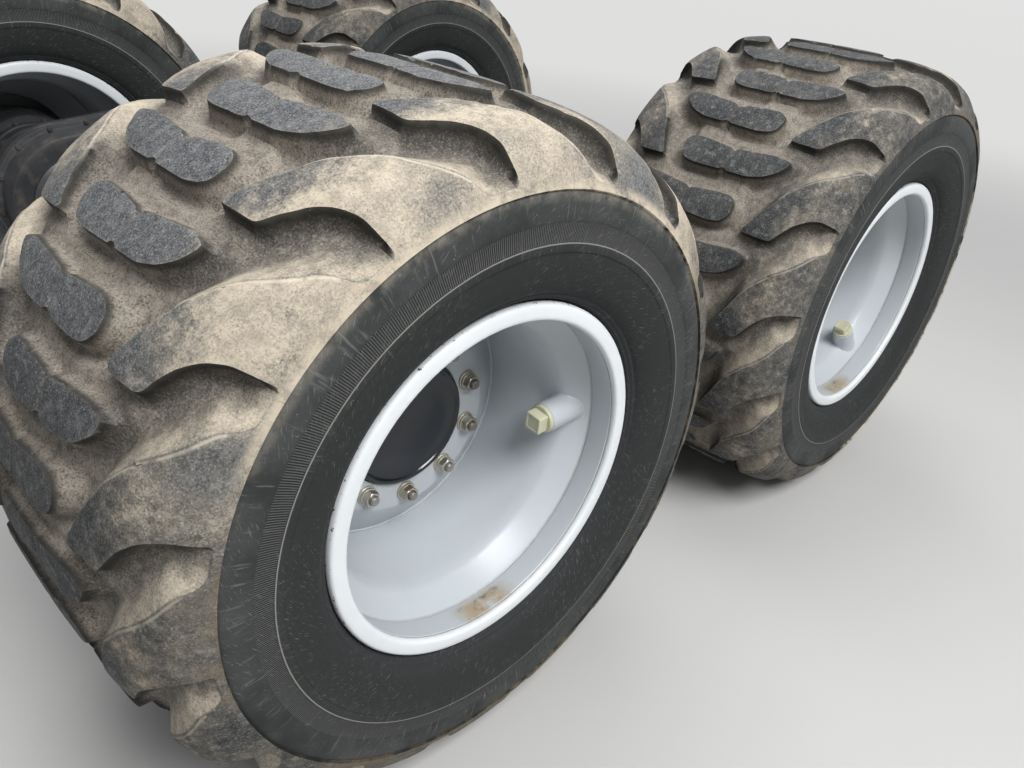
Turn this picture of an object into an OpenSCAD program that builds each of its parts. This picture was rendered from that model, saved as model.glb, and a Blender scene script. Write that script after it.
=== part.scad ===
// Tandem bogie axle of a forestry forwarder, standing on its four wide flotation wheels.
// Millimetres. +X is the direction of travel, +Y the vehicle's left, +Z up.
// The origin lies on the ground, midway between the wheels.

/* [Layout] */
// Distance between the two wheel centres of one bogie
bogie_wheelbase = 1590; // [1520:10:1800]
// Distance between the middle planes of the left and the right tyres
track = 2150; // [2120:2:2400]
// Height of the bogie pivot above the wheel centres
pivot_rise = 70; // [40:5:100]

/* [Tyre] */
// Outer diameter over the centre blocks
tyre_od = 1350; // [1320:2:1380]
// Section width of the inflated tyre
tyre_w = 750; // [730:2:764]
// Height of the lugs above the carcass at the tread centre
lug_h = 40; // [30:1:46]
// Number of lugs on each side of the tread
lug_count = 16; // [14:1:17]
// Rubber thickness of the sidewall
sidewall_t = 22; // [16:1:26]

/* [Rim] */
// Nominal diameter of the bead seats
bead_d = 673; // [670:1:676]
// Width between the rim flanges
rim_w = 635; // [629:1:641]
// Height of the flanges above the bead seats
flange_h = 25.4; // [24:0.2:27]
// Thickness of the rolled flange ring
flange_lip = 20; // [16:1:24]
// Thickness of the rim barrel
barrel_t = 9; // [8:1:12]
// Inside diameter of the deep barrel
barrel_id = 560; // [552:2:576]
// Offset of the disc's outer face from the rim's middle plane
disc_offset = 55; // [40:1:70]
// Thickness of the wheel disc
disc_t = 20; // [16:1:24]
// Diameter of the disc's centre hole
disc_bore = 281; // [281:1:290]
// Outside diameter of the plug's boss on the barrel
boss_d = 66; // [56:1:72]

/* [Hub] */
// Bolt circle of the wheel studs
stud_pcd = 335; // [333:1:340]
// Number of wheel studs
stud_count = 10; // [8:1:12]
// Thread diameter of the wheel studs
stud_d = 22; // [20:1:24]
// Diameter of the hub's wheel flange
hub_flange_d = 396; // [390:2:410]
// Thickness of the hub's wheel flange
hub_flange_t = 24; // [20:1:28]
// Diameter of the planetary gear housing behind the flange
hub_body_d = 350; // [340:2:364]
// Diameter of the fixed spindle inside the hub
spindle_d = 170; // [150:2:190]
// Running clearance between the spindle and the hub
spindle_clear = 0.3; // [0.2:0.1:0.6]

/* [Bogie beam] */
// Width of the gear casing between its side faces
beam_w = 200; // [180:5:220]
// Clearance between the tyre and the gear casing
beam_gap = 38; // [30:1:60]
// Radius of the casing round each wheel centre
beam_end_r = 205; // [190:5:220]
// Radius of the casing round the pivot
beam_mid_r = 245; // [235:5:260]

/* [Axle] */
// Outer diameter of the axle tubes
tube_d = 240; // [220:5:260]
// Outer diameter of the pivot bearing rings
bearing_d = 430; // [410:5:450]
// Diameter of the crown wheel housing
banjo_d = 470; // [440:5:490]
// Gap between a frame pad and its pivot ring
pad_gap = 15; // [10:1:30]
// Bolt spacing of a frame pad along the vehicle
pad_bolt_x = 240; // [220:5:250]
// Bolt spacing of a frame pad across the vehicle
pad_bolt_y = 110; // [100:5:120]
// Diameter of the frame bolt holes
pad_hole_d = 26; // [22:1:30]
// Turning clearance between the pivot ring and the gear casing
pivot_clear = 6; // [5:1:10]
// Running fit of the axle tube in the gear casing
pivot_fit = 0.3; // [0.2:0.1:0.6]
// Diameter of the differential carrier's bolting flange
carrier_d = 360; // [340:5:380]
// Diameter of the pinion bearing cage
cage_d = 190; // [170:5:210]
// Diameter of the drive flange
drive_flange_d = 180; // [175:1:190]
// Bolt circle of the drive flange
drive_pcd = 155.5; // [150:0.5:158]
// Number of drive flange bolts
drive_bolts = 8; // [6:1:10]
// Diameter of the drive flange's bolt holes
drive_hole_d = 14; // [12:1:16]

/* [Hidden] */

// Columns of a wheel's place: end (+1 front, -1 rear), side (+1 left, -1 right),
// degrees from the front up to its first lug, and up to its plug
END = 0;
SIDE = 1;
TURN = 2;
PLUG = 3;
FRONT_LEFT = [1, 1, 9.3, 177.5];
REAR_LEFT = [-1, 1, 1.5, -127];
FRONT_RIGHT = [1, -1, 9.3, 177.5];
REAR_RIGHT = [-1, -1, 1.5, -127];

fine = 120;
round_fn = 64;
pitch = 360 / lug_count;
// Depth by which a lug is rooted in the carcass
lug_root = 14;
// Rubber under the lugs at the tread centre
under_tread = 26;
lug_top_r = tyre_od / 2;
crown_r = lug_top_r - lug_h;
tyre_half = tyre_w / 2;
axle_h = lug_top_r;
pivot_h = axle_h + pivot_rise;

bead_r = bead_d / 2;
rim_half = rim_w / 2;
flange_r = bead_r + flange_h;
lip_plane = rim_half + flange_lip;
seat_ir = bead_r - barrel_t;
barrel_ir = barrel_id / 2;
barrel_or = barrel_ir + barrel_t;
disc_inner = disc_offset - disc_t;
// Distance by which the disc's outer edge lies deeper than its bolting ring
cone_drop = 50;

// Stations of the axle
banjo_half = 100;
cone_half = 180;
tube_start = 270;
fin_t = 24;
fin_gap = 12;
pad_rise = 5;
pad_top = pivot_h + banjo_d / 2 + pad_rise;
pad_w = 190;
pad_l = 330;
boss_face = banjo_d / 2 + 10;
carrier_end = boss_face + 165;
shaft_d = 80;
shaft_l = 70;
shaft_fit = 0.3;
pivot_ring_t = 46;
ring_collar = 50;
ring_collar_r = tube_d / 2 + 30;

// Stations along a wheel's own axis, measured outwards from the tyre's middle plane
beam_face = -(tyre_half + beam_gap);
beam_inner = beam_face - beam_w;
hub_back = -236;
ring_face = track / 2 + beam_inner - pivot_clear;
pad_centre = ring_face - pivot_ring_t - ring_collar - pad_gap - pad_w / 2;
carrier_flange_t = 30;
seal_gap = 6;

// Turns a revolve about Z onto a wheel's axle: local Z becomes outwards, angles run up from the front
module on_axle(place) {
    translate([place[END] * bogie_wheelbase / 2, place[SIDE] * track / 2, axle_h])
        mirror([0, place[SIDE] > 0 ? 1 : 0, 0])
            rotate([90, 0, 0])
                children();
}

// The same for a bogie's pivot: local Z is outwards from the vehicle's middle plane
module on_pivot(side) {
    translate([0, 0, pivot_h])
        mirror([0, side > 0 ? 1 : 0, 0])
            rotate([90, 0, 0])
                children();
}

// Tyre

// Outline of one shoulder lug: degrees behind its leading corner, share of the half width outwards
LUG_OUTLINE = [
    [0, 0.427], [0, 0.651], [2.4, 0.704], [4.8, 0.757], [7, 0.835], [8.2, 0.901], [8.2, 1.02],
    [24.4, 1.02], [23, 0.95], [20.4, 0.915], [18.2, 0.856], [15.6, 0.752], [11.4, 0.629],
    [7.2, 0.56], [4.2, 0.501]
];
// Outlines of the two centre blocks behind it, in the same columns
SHORT_BLOCK = [[0, -0.069], [0, 0.203], [1.3, 0.283], [5.4, 0.299], [6.2, 0.171], [5.4, -0.059]];
LONG_BLOCK = [
    [0, -0.117], [5.5, -0.101], [6.6, -0.427], [6.4, -0.544], [3.6, -0.485], [1.4, -0.4], [0.3, -0.272]
];

// Half section of the lugs' envelope: share of the height over the flange, share of the half width
LUG_ENVELOPE = [
    [0.64, 0.9975], [0.729, 0.973], [0.799, 0.939], [0.866, 0.893], [0.914, 0.827],
    [0.939, 0.773], [0.965, 0.667], [0.987, 0.507], [0.997, 0.267], [1, 0.12]
];
// Half section of the carcass from the sidewall to the crown, shares of its own height and half width
CARCASS = [
    [0.14, 0.955], [0.249, 0.981], [0.38, 0.996], [0.5, 1], [0.62, 0.998], [0.733, 0.995],
    [0.81, 0.952], [0.876, 0.848], [0.942, 0.699], [0.982, 0.48], [0.998, 0.213]
];
// The carcass stations from here on lie under the lugs
FIRST_UNDER_LUG = 5;

function scaled(table, top_r) = [
    for (p = table) [flange_r + p[0] * (top_r - flange_r), p[1] * tyre_half]
];
function carcass_side() = concat(
    [[flange_r + 6, rim_half + 11], [flange_r + 16, rim_half + 26]],
    scaled(CARCASS, crown_r)
);
function lug_side() = scaled(LUG_ENVELOPE, lug_top_r);
function flipped(side) = [for (i = [len(side) - 1 : -1 : 0]) [side[i][0], -side[i][1]]];
function reversed(side) = [for (i = [len(side) - 1 : -1 : 0]) side[i]];

module carcass_section() {
    wall = tyre_half - sidewall_t;
    difference() {
        polygon(concat(
            [[bead_r, rim_half - 42], [bead_r, rim_half - 8], [bead_r + 8, rim_half],
             [flange_r - 4, rim_half]],
            carcass_side(),
            flipped(carcass_side()),
            [[flange_r - 4, -rim_half], [bead_r + 8, -rim_half], [bead_r, -rim_half + 8],
             [bead_r, -rim_half + 42]]
        ));
        polygon([
            [bead_r - 5, rim_half - 43],
            [flange_r + 40, rim_half - 20],
            [flange_r + 90, wall - 6],
            [flange_r + 0.66 * (crown_r - flange_r), wall],
            [crown_r - under_tread - 8, 0.65 * tyre_half],
            [crown_r - under_tread, 0],
            [crown_r - under_tread - 8, -0.65 * tyre_half],
            [flange_r + 0.66 * (crown_r - flange_r), -wall],
            [flange_r + 90, -wall + 6],
            [flange_r + 40, -rim_half + 20],
            [bead_r - 5, -rim_half + 43]
        ]);
    }
}

// Inner bound of the lugs' envelope, rooted in the carcass
function root_side() = [
    for (i = [FIRST_UNDER_LUG : len(CARCASS) - 1])
        let (p = scaled(CARCASS, crown_r)[i])
            [p[0] - lug_root, p[1] - (p[1] > 0.9 * tyre_half ? lug_root : 0)]
];

module tread_ring_section() {
    polygon(concat(
        lug_side(),
        flipped(lug_side()),
        [for (p = root_side()) [p[0], -p[1]]],
        reversed(root_side())
    ));
}

// Extrudes an outline outwards through the tread at its middle angle
module radial_prism(outline) {
    angles = [for (p = outline) p[0]];
    middle = (min(angles) + max(angles)) / 2;
    start_r = flange_r + 0.58 * (lug_top_r - flange_r);
    rotate([0, 0, middle])
        translate([start_r, 0, 0])
            rotate([90, 0, 90])
                linear_extrude(lug_top_r - start_r + 10)
                    polygon([for (p = outline) [lug_top_r * sin(p[0] - middle), p[1] * tyre_half]]);
}

module half_pattern() {
    radial_prism(LUG_OUTLINE);
    radial_prism(SHORT_BLOCK);
    radial_prism(LONG_BLOCK);
}

module tyre(place) {
    color([0.13, 0.13, 0.13])
        on_axle(place)
            union() {
                rotate_extrude($fn = fine) carcass_section();
                intersection() {
                    rotate_extrude($fn = fine) tread_ring_section();
                    for (i = [0 : lug_count - 1])
                        rotate([0, 0, i * pitch + place[TURN]]) {
                            half_pattern();
                            rotate([0, 0, pitch / 2])
                                mirror([0, 0, 1])
                                    half_pattern();
                        }
                }
            }
}

// Rim: a deep barrel with rolled flange rings, a conical disc and a flat bolting ring

// Outboard half of the barrel's inner surface, from the flange ring to the barrel
function rim_inside() = [
    [flange_r, lip_plane - 7], [flange_r - 4, lip_plane - 2], [flange_r - 10, lip_plane],
    [seat_ir + 8, lip_plane], [seat_ir + 2, lip_plane - 4], [seat_ir, lip_plane - 13],
    [seat_ir + 3, rim_half - 48], [seat_ir - 3, rim_half - 56], [barrel_ir + 25, rim_half - 84],
    [barrel_ir + 8, rim_half - 105], [barrel_ir, rim_half - 132]
];
// The same half of its tyre side
function rim_outside() = [
    [barrel_or, rim_half - 136], [barrel_or + 10, rim_half - 108], [barrel_or + 26, rim_half - 88],
    [bead_r, rim_half - 60], [bead_r, rim_half - 8], [bead_r + 8, rim_half],
    [flange_r - 4, rim_half], [flange_r, rim_half + 5]
];

// The station of that half where the bead seat turns into the slope
SLOPE_START = 7;

module rim_section() {
    polygon(concat(rim_inside(), flipped(rim_inside()), flipped(rim_outside()), rim_outside()));
}

module disc_section() {
    ring_r = hub_flange_d / 2 + 4;
    polygon([
        [disc_bore / 2, disc_inner], [ring_r + 4, disc_inner],
        [barrel_ir + 1, disc_offset - cone_drop - disc_t],
        [barrel_ir + 1, disc_offset - cone_drop],
        [ring_r, disc_offset], [disc_bore / 2, disc_offset]
    ]);
}

module stud_ring(d, h) {
    for (i = [0 : stud_count - 1])
        rotate([0, 0, (i + 0.5) * 360 / stud_count])
            translate([stud_pcd / 2, 0, 0])
                cylinder(d = d, h = h, $fn = 32);
}

module rim(place) {
    color([0.78, 0.79, 0.80])
        on_axle(place)
            difference() {
                rotate_extrude($fn = fine) {
                    rim_section();
                    disc_section();
                }
                translate([0, 0, disc_inner - 1]) stud_ring(stud_d + 3, disc_t + 2);
            }
}

module wheel_nuts(place) {
    washer_t = 5;
    nut_h = 20;
    nut_af = 32;
    color([0.66, 0.63, 0.57])
        on_axle(place)
            for (i = [0 : stud_count - 1])
                rotate([0, 0, (i + 0.5) * 360 / stud_count])
                    translate([stud_pcd / 2, 0, 0]) {
                        translate([0, 0, disc_offset])
                            cylinder(d = nut_af + 12, h = washer_t, $fn = 32);
                        translate([0, 0, disc_offset + washer_t])
                            cylinder(d = nut_af / cos(30), h = nut_h, $fn = 6);
                        translate([0, 0, disc_inner - hub_flange_t - 6])
                            cylinder(d = stud_d, h = hub_flange_t + disc_t + washer_t + nut_h + 14, $fn = 32);
                    }
}

// A steel boss on the barrel's slope, closed by a plastic plug with a square head
module inflation_plug(place) {
    plug_u = rim_half - 98;
    root_r = barrel_ir + 42;
    boss_l = 90;
    collar_t = 8;
    head_w = 38;
    head_h = 22;
    color([0.86, 0.84, 0.70])
        on_axle(place)
            intersection() {
                rotate([0, 0, place[PLUG]])
                    translate([root_r, 0, plug_u])
                        rotate([0, -90, 0]) {
                            cylinder(d = boss_d, h = boss_l, $fn = 48);
                            translate([0, 0, boss_l]) cylinder(d = boss_d - 4, h = collar_t, $fn = 48);
                            translate([-head_w / 2, -head_w / 2, boss_l + collar_t])
                                cube([head_w, head_w, head_h]);
                        }
                rotate_extrude($fn = fine)
                    polygon(concat(
                        [[0, 0], [barrel_ir, 0]],
                        [for (i = [len(rim_inside()) - 1 : -1 : SLOPE_START]) rim_inside()[i]],
                        [[0, rim_half - 56]]
                    ));
            }
}

// Hub

module hub(place) {
    flange_face = disc_inner;
    body_end = hub_back;
    // The stud ends clear the neck behind the flange
    hub_neck_r = (stud_pcd - stud_d) / 2 - 7;
    color([0.10, 0.10, 0.11])
        on_axle(place)
            difference() {
                rotate_extrude($fn = fine)
                    polygon([
                        [0, flange_face + 4], [disc_bore / 2 - 0.5, flange_face + 4],
                        [disc_bore / 2 - 0.5, flange_face], [hub_flange_d / 2, flange_face],
                        [hub_flange_d / 2, flange_face - hub_flange_t],
                        [hub_neck_r + 5, flange_face - hub_flange_t],
                        [hub_neck_r, flange_face - hub_flange_t - 6],
                        [hub_neck_r, flange_face - hub_flange_t - 34],
                        [hub_body_d / 2, flange_face - hub_flange_t - 52],
                        [hub_body_d / 2, body_end + 40], [hub_body_d / 2 - 18, body_end + 20],
                        [hub_body_d / 2 - 18, body_end], [spindle_d / 2 + spindle_clear, body_end],
                        [spindle_d / 2 + spindle_clear, -60], [0, -60]
                    ]);
                translate([0, 0, flange_face - hub_flange_t - 1]) stud_ring(stud_d + 0.4, hub_flange_t + 2);
            }
}

module hub_cover(place) {
    seat = disc_inner + 4;
    rim_r = disc_bore / 2 - 2;
    color([0.06, 0.06, 0.07])
        on_axle(place)
            translate([0, 0, seat])
                rotate_extrude($fn = fine)
                    polygon([
                        [0, 0], [rim_r, 0], [rim_r, 22], [rim_r - 4, 27], [rim_r - 10, 27],
                        [rim_r - 15, 22], [rim_r - 40, 18], [0, 18]
                    ]);
}

module spindle(place) {
    flange_r = 178;
    body_r = 158;
    color([0.09, 0.09, 0.10])
        on_axle(place)
            rotate_extrude($fn = fine)
                polygon([
                    [0, beam_face], [flange_r, beam_face], [flange_r, beam_face + carrier_flange_t],
                    [body_r - 14, beam_face + carrier_flange_t + 10],
                    [body_r, beam_face + carrier_flange_t + 34],
                    [body_r, hub_back - seal_gap - 14], [body_r - 14, hub_back - seal_gap],
                    [spindle_d / 2, hub_back - seal_gap], [spindle_d / 2, -66],
                    [spindle_d / 2 - 6, -62], [0, -62]
                ]);
}

// Bogie gear casing

// Casing outline in the bogie's side view: three rounds joined by straight flanks
module casing_outline(rise = 0) {
    half = bogie_wheelbase / 2;
    for (s = [-1, 1])
        hull() {
            translate([s * half, 0]) circle(r = beam_end_r + rise, $fn = round_fn);
            translate([0, pivot_rise - 20]) circle(r = beam_mid_r + rise, $fn = round_fn);
        }
}

module casing_place(side) {
    translate([0, side * (track / 2 + beam_inner), axle_h])
        mirror([0, side > 0 ? 1 : 0, 0])
            rotate([90, 0, 0])
                children();
}

// A closed casing with the flange of its joint line round the middle
module gear_casing(side) {
    joint_t = 36;
    joint_rise = 16;
    color([0.08, 0.08, 0.09])
        casing_place(side)
            difference() {
                union() {
                    linear_extrude(beam_w) casing_outline();
                    translate([0, 0, (beam_w - joint_t) / 2])
                        linear_extrude(joint_t) casing_outline(joint_rise);
                }
                translate([0, pivot_rise, -1])
                    cylinder(r = tube_d / 2 + pivot_fit, h = beam_w + 2, $fn = fine);
            }
}

module pivot_cover(side) {
    color([0.08, 0.08, 0.09])
        casing_place(side)
            translate([0, pivot_rise, beam_w])
                rotate_extrude($fn = fine)
                    polygon([[0, 0], [180, 0], [180, 10], [150, 22], [0, 22]]);
}

module casing_covers(side) {
    color([0.10, 0.10, 0.11])
        casing_place(side)
            for (s = [-1, 1])
                translate([s * bogie_wheelbase / 2, 0, 0])
                    rotate([180, 0, 0])
                        rotate_extrude($fn = fine)
                            polygon([[0, 0], [150, 0], [150, 10], [120, 20], [0, 20]]);
}

// Axle

// Turned parts on the pinion's line: local Z is forwards, or backwards with way = -1
module on_pinion(way = 1) {
    translate([0, 0, pivot_h])
        rotate([0, way * 90, 0])
            children();
}

module housing_body() {
    tube_end = track / 2 + beam_face - 20;
    half = [
        [banjo_d / 2, banjo_half], [banjo_d / 2 - 6, banjo_half + 20], [banjo_d / 2 - 60, cone_half],
        [tube_d / 2, tube_start], [tube_d / 2, tube_end], [0, tube_end]
    ];
    translate([0, 0, pivot_h])
        rotate([90, 0, 0])
            rotate_extrude($fn = fine)
                polygon(concat(flipped(half), half));
}

// Level stiffening fins along both tubes, in one plate through the banjo
module housing_fins() {
    fin_end = ring_face - pivot_ring_t - ring_collar - fin_gap;
    half = [
        [-fin_end, tube_d / 2 + 6], [-cone_half, banjo_d / 2 - 34], [0, banjo_d / 2 - 8],
        [cone_half, banjo_d / 2 - 34], [fin_end, tube_d / 2 + 6]
    ];
    translate([0, 0, pivot_h - fin_t / 2])
        linear_extrude(fin_t)
            polygon(concat(
                [for (p = half) [p[1], p[0]]],
                [for (p = reversed(half)) [-p[1], p[0]]]
            ));
}

module axle_housing() {
    color([0.08, 0.08, 0.09]) {
        housing_body();
        housing_fins();
        on_pinion() cylinder(d = carrier_d, h = 2 * boss_face, center = true, $fn = fine);
    }
}

module pivot_ring(side) {
    color([0.10, 0.10, 0.11])
        on_pivot(side)
            rotate_extrude($fn = fine)
                polygon([
                    [tube_d / 2, ring_face - pivot_ring_t - ring_collar],
                    [ring_collar_r, ring_face - pivot_ring_t - ring_collar],
                    [ring_collar_r + 18, ring_face - pivot_ring_t],
                    [bearing_d / 2, ring_face - pivot_ring_t],
                    [bearing_d / 2, ring_face], [tube_d / 2, ring_face]
                ]);
}

// Saddle: a machined top plate on two cheeks and a cross web, cast onto the tube
module frame_pad(side) {
    plate_t = 32;
    cheek_t = 22;
    foot_l = 200;
    foot_z = pivot_h + 20;
    under_plate = pad_top - plate_t;
    color([0.09, 0.09, 0.10])
        translate([0, side * pad_centre, 0])
            difference() {
                union() {
                    translate([-pad_l / 2, -pad_w / 2, under_plate]) cube([pad_l, pad_w, plate_t]);
                    for (s = [-1, 1])
                        translate([0, s * (pad_w - cheek_t) / 2 + cheek_t / 2, 0])
                            rotate([90, 0, 0])
                                linear_extrude(cheek_t)
                                    polygon([
                                        [-foot_l / 2, foot_z], [foot_l / 2, foot_z],
                                        [pad_l / 2, under_plate], [pad_l / 2, under_plate + 1],
                                        [-pad_l / 2, under_plate + 1], [-pad_l / 2, under_plate]
                                    ]);
                    translate([-cheek_t / 2, -pad_w / 2 + 1, foot_z])
                        cube([cheek_t, pad_w - 2, under_plate - foot_z + 1]);
                }
                translate([0, -side * pad_centre, 0]) housing_body();
                for (sx = [-1, 1], sy = [-1, 1])
                    translate([sx * pad_bolt_x / 2, sy * pad_bolt_y / 2, under_plate - 1])
                        cylinder(d = pad_hole_d, h = plate_t + 2, $fn = 32);
            }
}

module rear_cover() {
    color([0.10, 0.10, 0.11])
        on_pinion(-1)
            rotate_extrude($fn = fine)
                polygon([
                    [0, boss_face], [carrier_d / 2 - 10, boss_face], [carrier_d / 2 - 10, boss_face + 14],
                    [carrier_d / 2 - 50, boss_face + 14], [carrier_d / 2 - 80, boss_face + 42],
                    [0, boss_face + 56]
                ]);
}

module differential_carrier() {
    color([0.10, 0.10, 0.11])
        on_pinion()
            rotate_extrude($fn = fine)
                polygon([
                    [0, boss_face], [carrier_d / 2, boss_face], [carrier_d / 2, boss_face + 24],
                    [carrier_d / 2 - 34, boss_face + 26], [cage_d / 2 + 10, boss_face + 90],
                    [cage_d / 2, boss_face + 110], [cage_d / 2, carrier_end],
                    [shaft_d / 2 + shaft_fit, carrier_end], [shaft_d / 2 + shaft_fit, carrier_end - shaft_l],
                    [0, carrier_end - shaft_l]
                ]);
}

module drive_flange() {
    face = carrier_end + 8;
    color([0.14, 0.14, 0.15])
        on_pinion()
            difference() {
                rotate_extrude($fn = fine)
                    polygon([
                        [0, carrier_end - shaft_l + 4], [shaft_d / 2, carrier_end - shaft_l + 4],
                        [shaft_d / 2, face], [drive_flange_d / 2 - 40, face],
                        [drive_flange_d / 2 - 34, face + 22], [drive_flange_d / 2, face + 22],
                        [drive_flange_d / 2, face + 36], [55, face + 36], [55, face + 33], [0, face + 33]
                    ]);
                for (i = [0 : drive_bolts - 1])
                    rotate([0, 0, (i + 0.5) * 360 / drive_bolts])
                        translate([drive_pcd / 2, 0, face + 20])
                            cylinder(d = drive_hole_d, h = 18, $fn = 32);
            }
}

axle_housing();
rear_cover();
differential_carrier();
frame_pad(1);  // frame_pad_left
frame_pad(-1);  // frame_pad_right
pivot_ring(1);  // pivot_ring_left
pivot_ring(-1);  // pivot_ring_right
drive_flange();
gear_casing(1);  // gear_casing_left
pivot_cover(1);  // pivot_cover_left
casing_covers(1);  // casing_covers_left
spindle(FRONT_LEFT);  // spindle_front_left
spindle(REAR_LEFT);  // spindle_rear_left
gear_casing(-1);  // gear_casing_right
pivot_cover(-1);  // pivot_cover_right
casing_covers(-1);  // casing_covers_right
spindle(FRONT_RIGHT);  // spindle_front_right
spindle(REAR_RIGHT);  // spindle_rear_right
hub(FRONT_LEFT);  // hub_front_left
hub_cover(FRONT_LEFT);  // hub_cover_front_left
rim(FRONT_LEFT);  // rim_front_left
tyre(FRONT_LEFT);  // tyre_front_left
wheel_nuts(FRONT_LEFT);  // wheel_nuts_front_left
inflation_plug(FRONT_LEFT);  // inflation_plug_front_left
hub(REAR_LEFT);  // hub_rear_left
hub_cover(REAR_LEFT);  // hub_cover_rear_left
rim(REAR_LEFT);  // rim_rear_left
tyre(REAR_LEFT);  // tyre_rear_left
wheel_nuts(REAR_LEFT);  // wheel_nuts_rear_left
inflation_plug(REAR_LEFT);  // inflation_plug_rear_left
hub(FRONT_RIGHT);  // hub_front_right
hub_cover(FRONT_RIGHT);  // hub_cover_front_right
rim(FRONT_RIGHT);  // rim_front_right
tyre(FRONT_RIGHT);  // tyre_front_right
wheel_nuts(FRONT_RIGHT);  // wheel_nuts_front_right
inflation_plug(FRONT_RIGHT);  // inflation_plug_front_right
hub(REAR_RIGHT);  // hub_rear_right
hub_cover(REAR_RIGHT);  // hub_cover_rear_right
rim(REAR_RIGHT);  // rim_rear_right
tyre(REAR_RIGHT);  // tyre_rear_right
wheel_nuts(REAR_RIGHT);  // wheel_nuts_rear_right
inflation_plug(REAR_RIGHT);  // inflation_plug_rear_right
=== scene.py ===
"""Looks of a forestry forwarder's tandem bogie axle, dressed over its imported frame.

Metres. +X is the direction of travel, +Y the vehicle's left, +Z up.
"""

import logging
import math
from dataclasses import dataclass, field
from enum import Enum
from functools import cached_property

import bpy
import numpy as np
from mathutils import Matrix, Vector


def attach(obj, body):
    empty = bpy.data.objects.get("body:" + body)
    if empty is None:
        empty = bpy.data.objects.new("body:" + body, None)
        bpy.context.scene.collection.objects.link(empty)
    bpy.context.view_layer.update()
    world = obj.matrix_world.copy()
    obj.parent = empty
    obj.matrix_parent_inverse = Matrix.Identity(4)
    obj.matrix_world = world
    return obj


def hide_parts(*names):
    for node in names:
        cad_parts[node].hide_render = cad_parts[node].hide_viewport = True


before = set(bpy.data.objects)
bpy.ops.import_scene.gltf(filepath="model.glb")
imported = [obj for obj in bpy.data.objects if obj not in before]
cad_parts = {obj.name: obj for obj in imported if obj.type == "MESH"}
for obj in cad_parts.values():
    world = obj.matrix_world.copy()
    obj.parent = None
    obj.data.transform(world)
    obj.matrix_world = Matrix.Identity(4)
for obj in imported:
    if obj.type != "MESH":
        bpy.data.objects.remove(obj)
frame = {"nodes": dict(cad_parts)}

LOG = logging.getLogger("bogie_axle")

WHEELBASE = 1.590
TRACK = 2.150
AXLE_H = 0.675
PIVOT_H = 0.745
MM = 0.001

Triple = tuple[float, float, float]
Pair = tuple[Triple, Triple]
Table = tuple[Triple, ...]
Line = tuple[tuple[float, float], ...]
Array = np.ndarray
Socket = bpy.types.NodeSocket

TALLY: list[int] = []


# Points, faces and pieces


@dataclass
class Patch:
    """Points with their faces, and what the finishes read at each point.

    Attributes:
        points: One row of x, y, z for each point.
        faces: Arrays of point numbers, one row for each face.
        turn: Share of a full turn at each point.
        level: Distance along the axis, or from it, at each point.
        marks: Four values for the finish at each point.
        facing: Direction that the unworn surface faces at each point, or None.
    """

    points: Array
    faces: list[Array]
    turn: Array
    level: Array
    marks: Array
    facing: Array | None = None

    @classmethod
    def plain(cls, points: Array, faces: list[Array]) -> "Patch":
        """Makes a patch whose finish reads nothing.

        Args:
            points: One row of x, y, z for each point.
            faces: Arrays of point numbers.

        Returns:
            The patch, all that a finish could read at zero.
        """
        zero = np.zeros(len(points))
        return cls(points, faces, zero, zero, np.zeros((len(points), 4)))

    def face_outwards(self) -> None:
        """Turns all faces over where the closed shell's volume is negative."""
        shifted, volume = self.points - self.points.mean(0), 0.0
        for block in self.faces:
            for k in range(1, block.shape[1] - 1):
                cross = np.cross(shifted[block[:, k]], shifted[block[:, k + 1]])
                volume += float(np.einsum("ij,ij->", shifted[block[:, 0]], cross))
        if volume < 0:
            self.faces = [block[:, ::-1] for block in self.faces]


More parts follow.
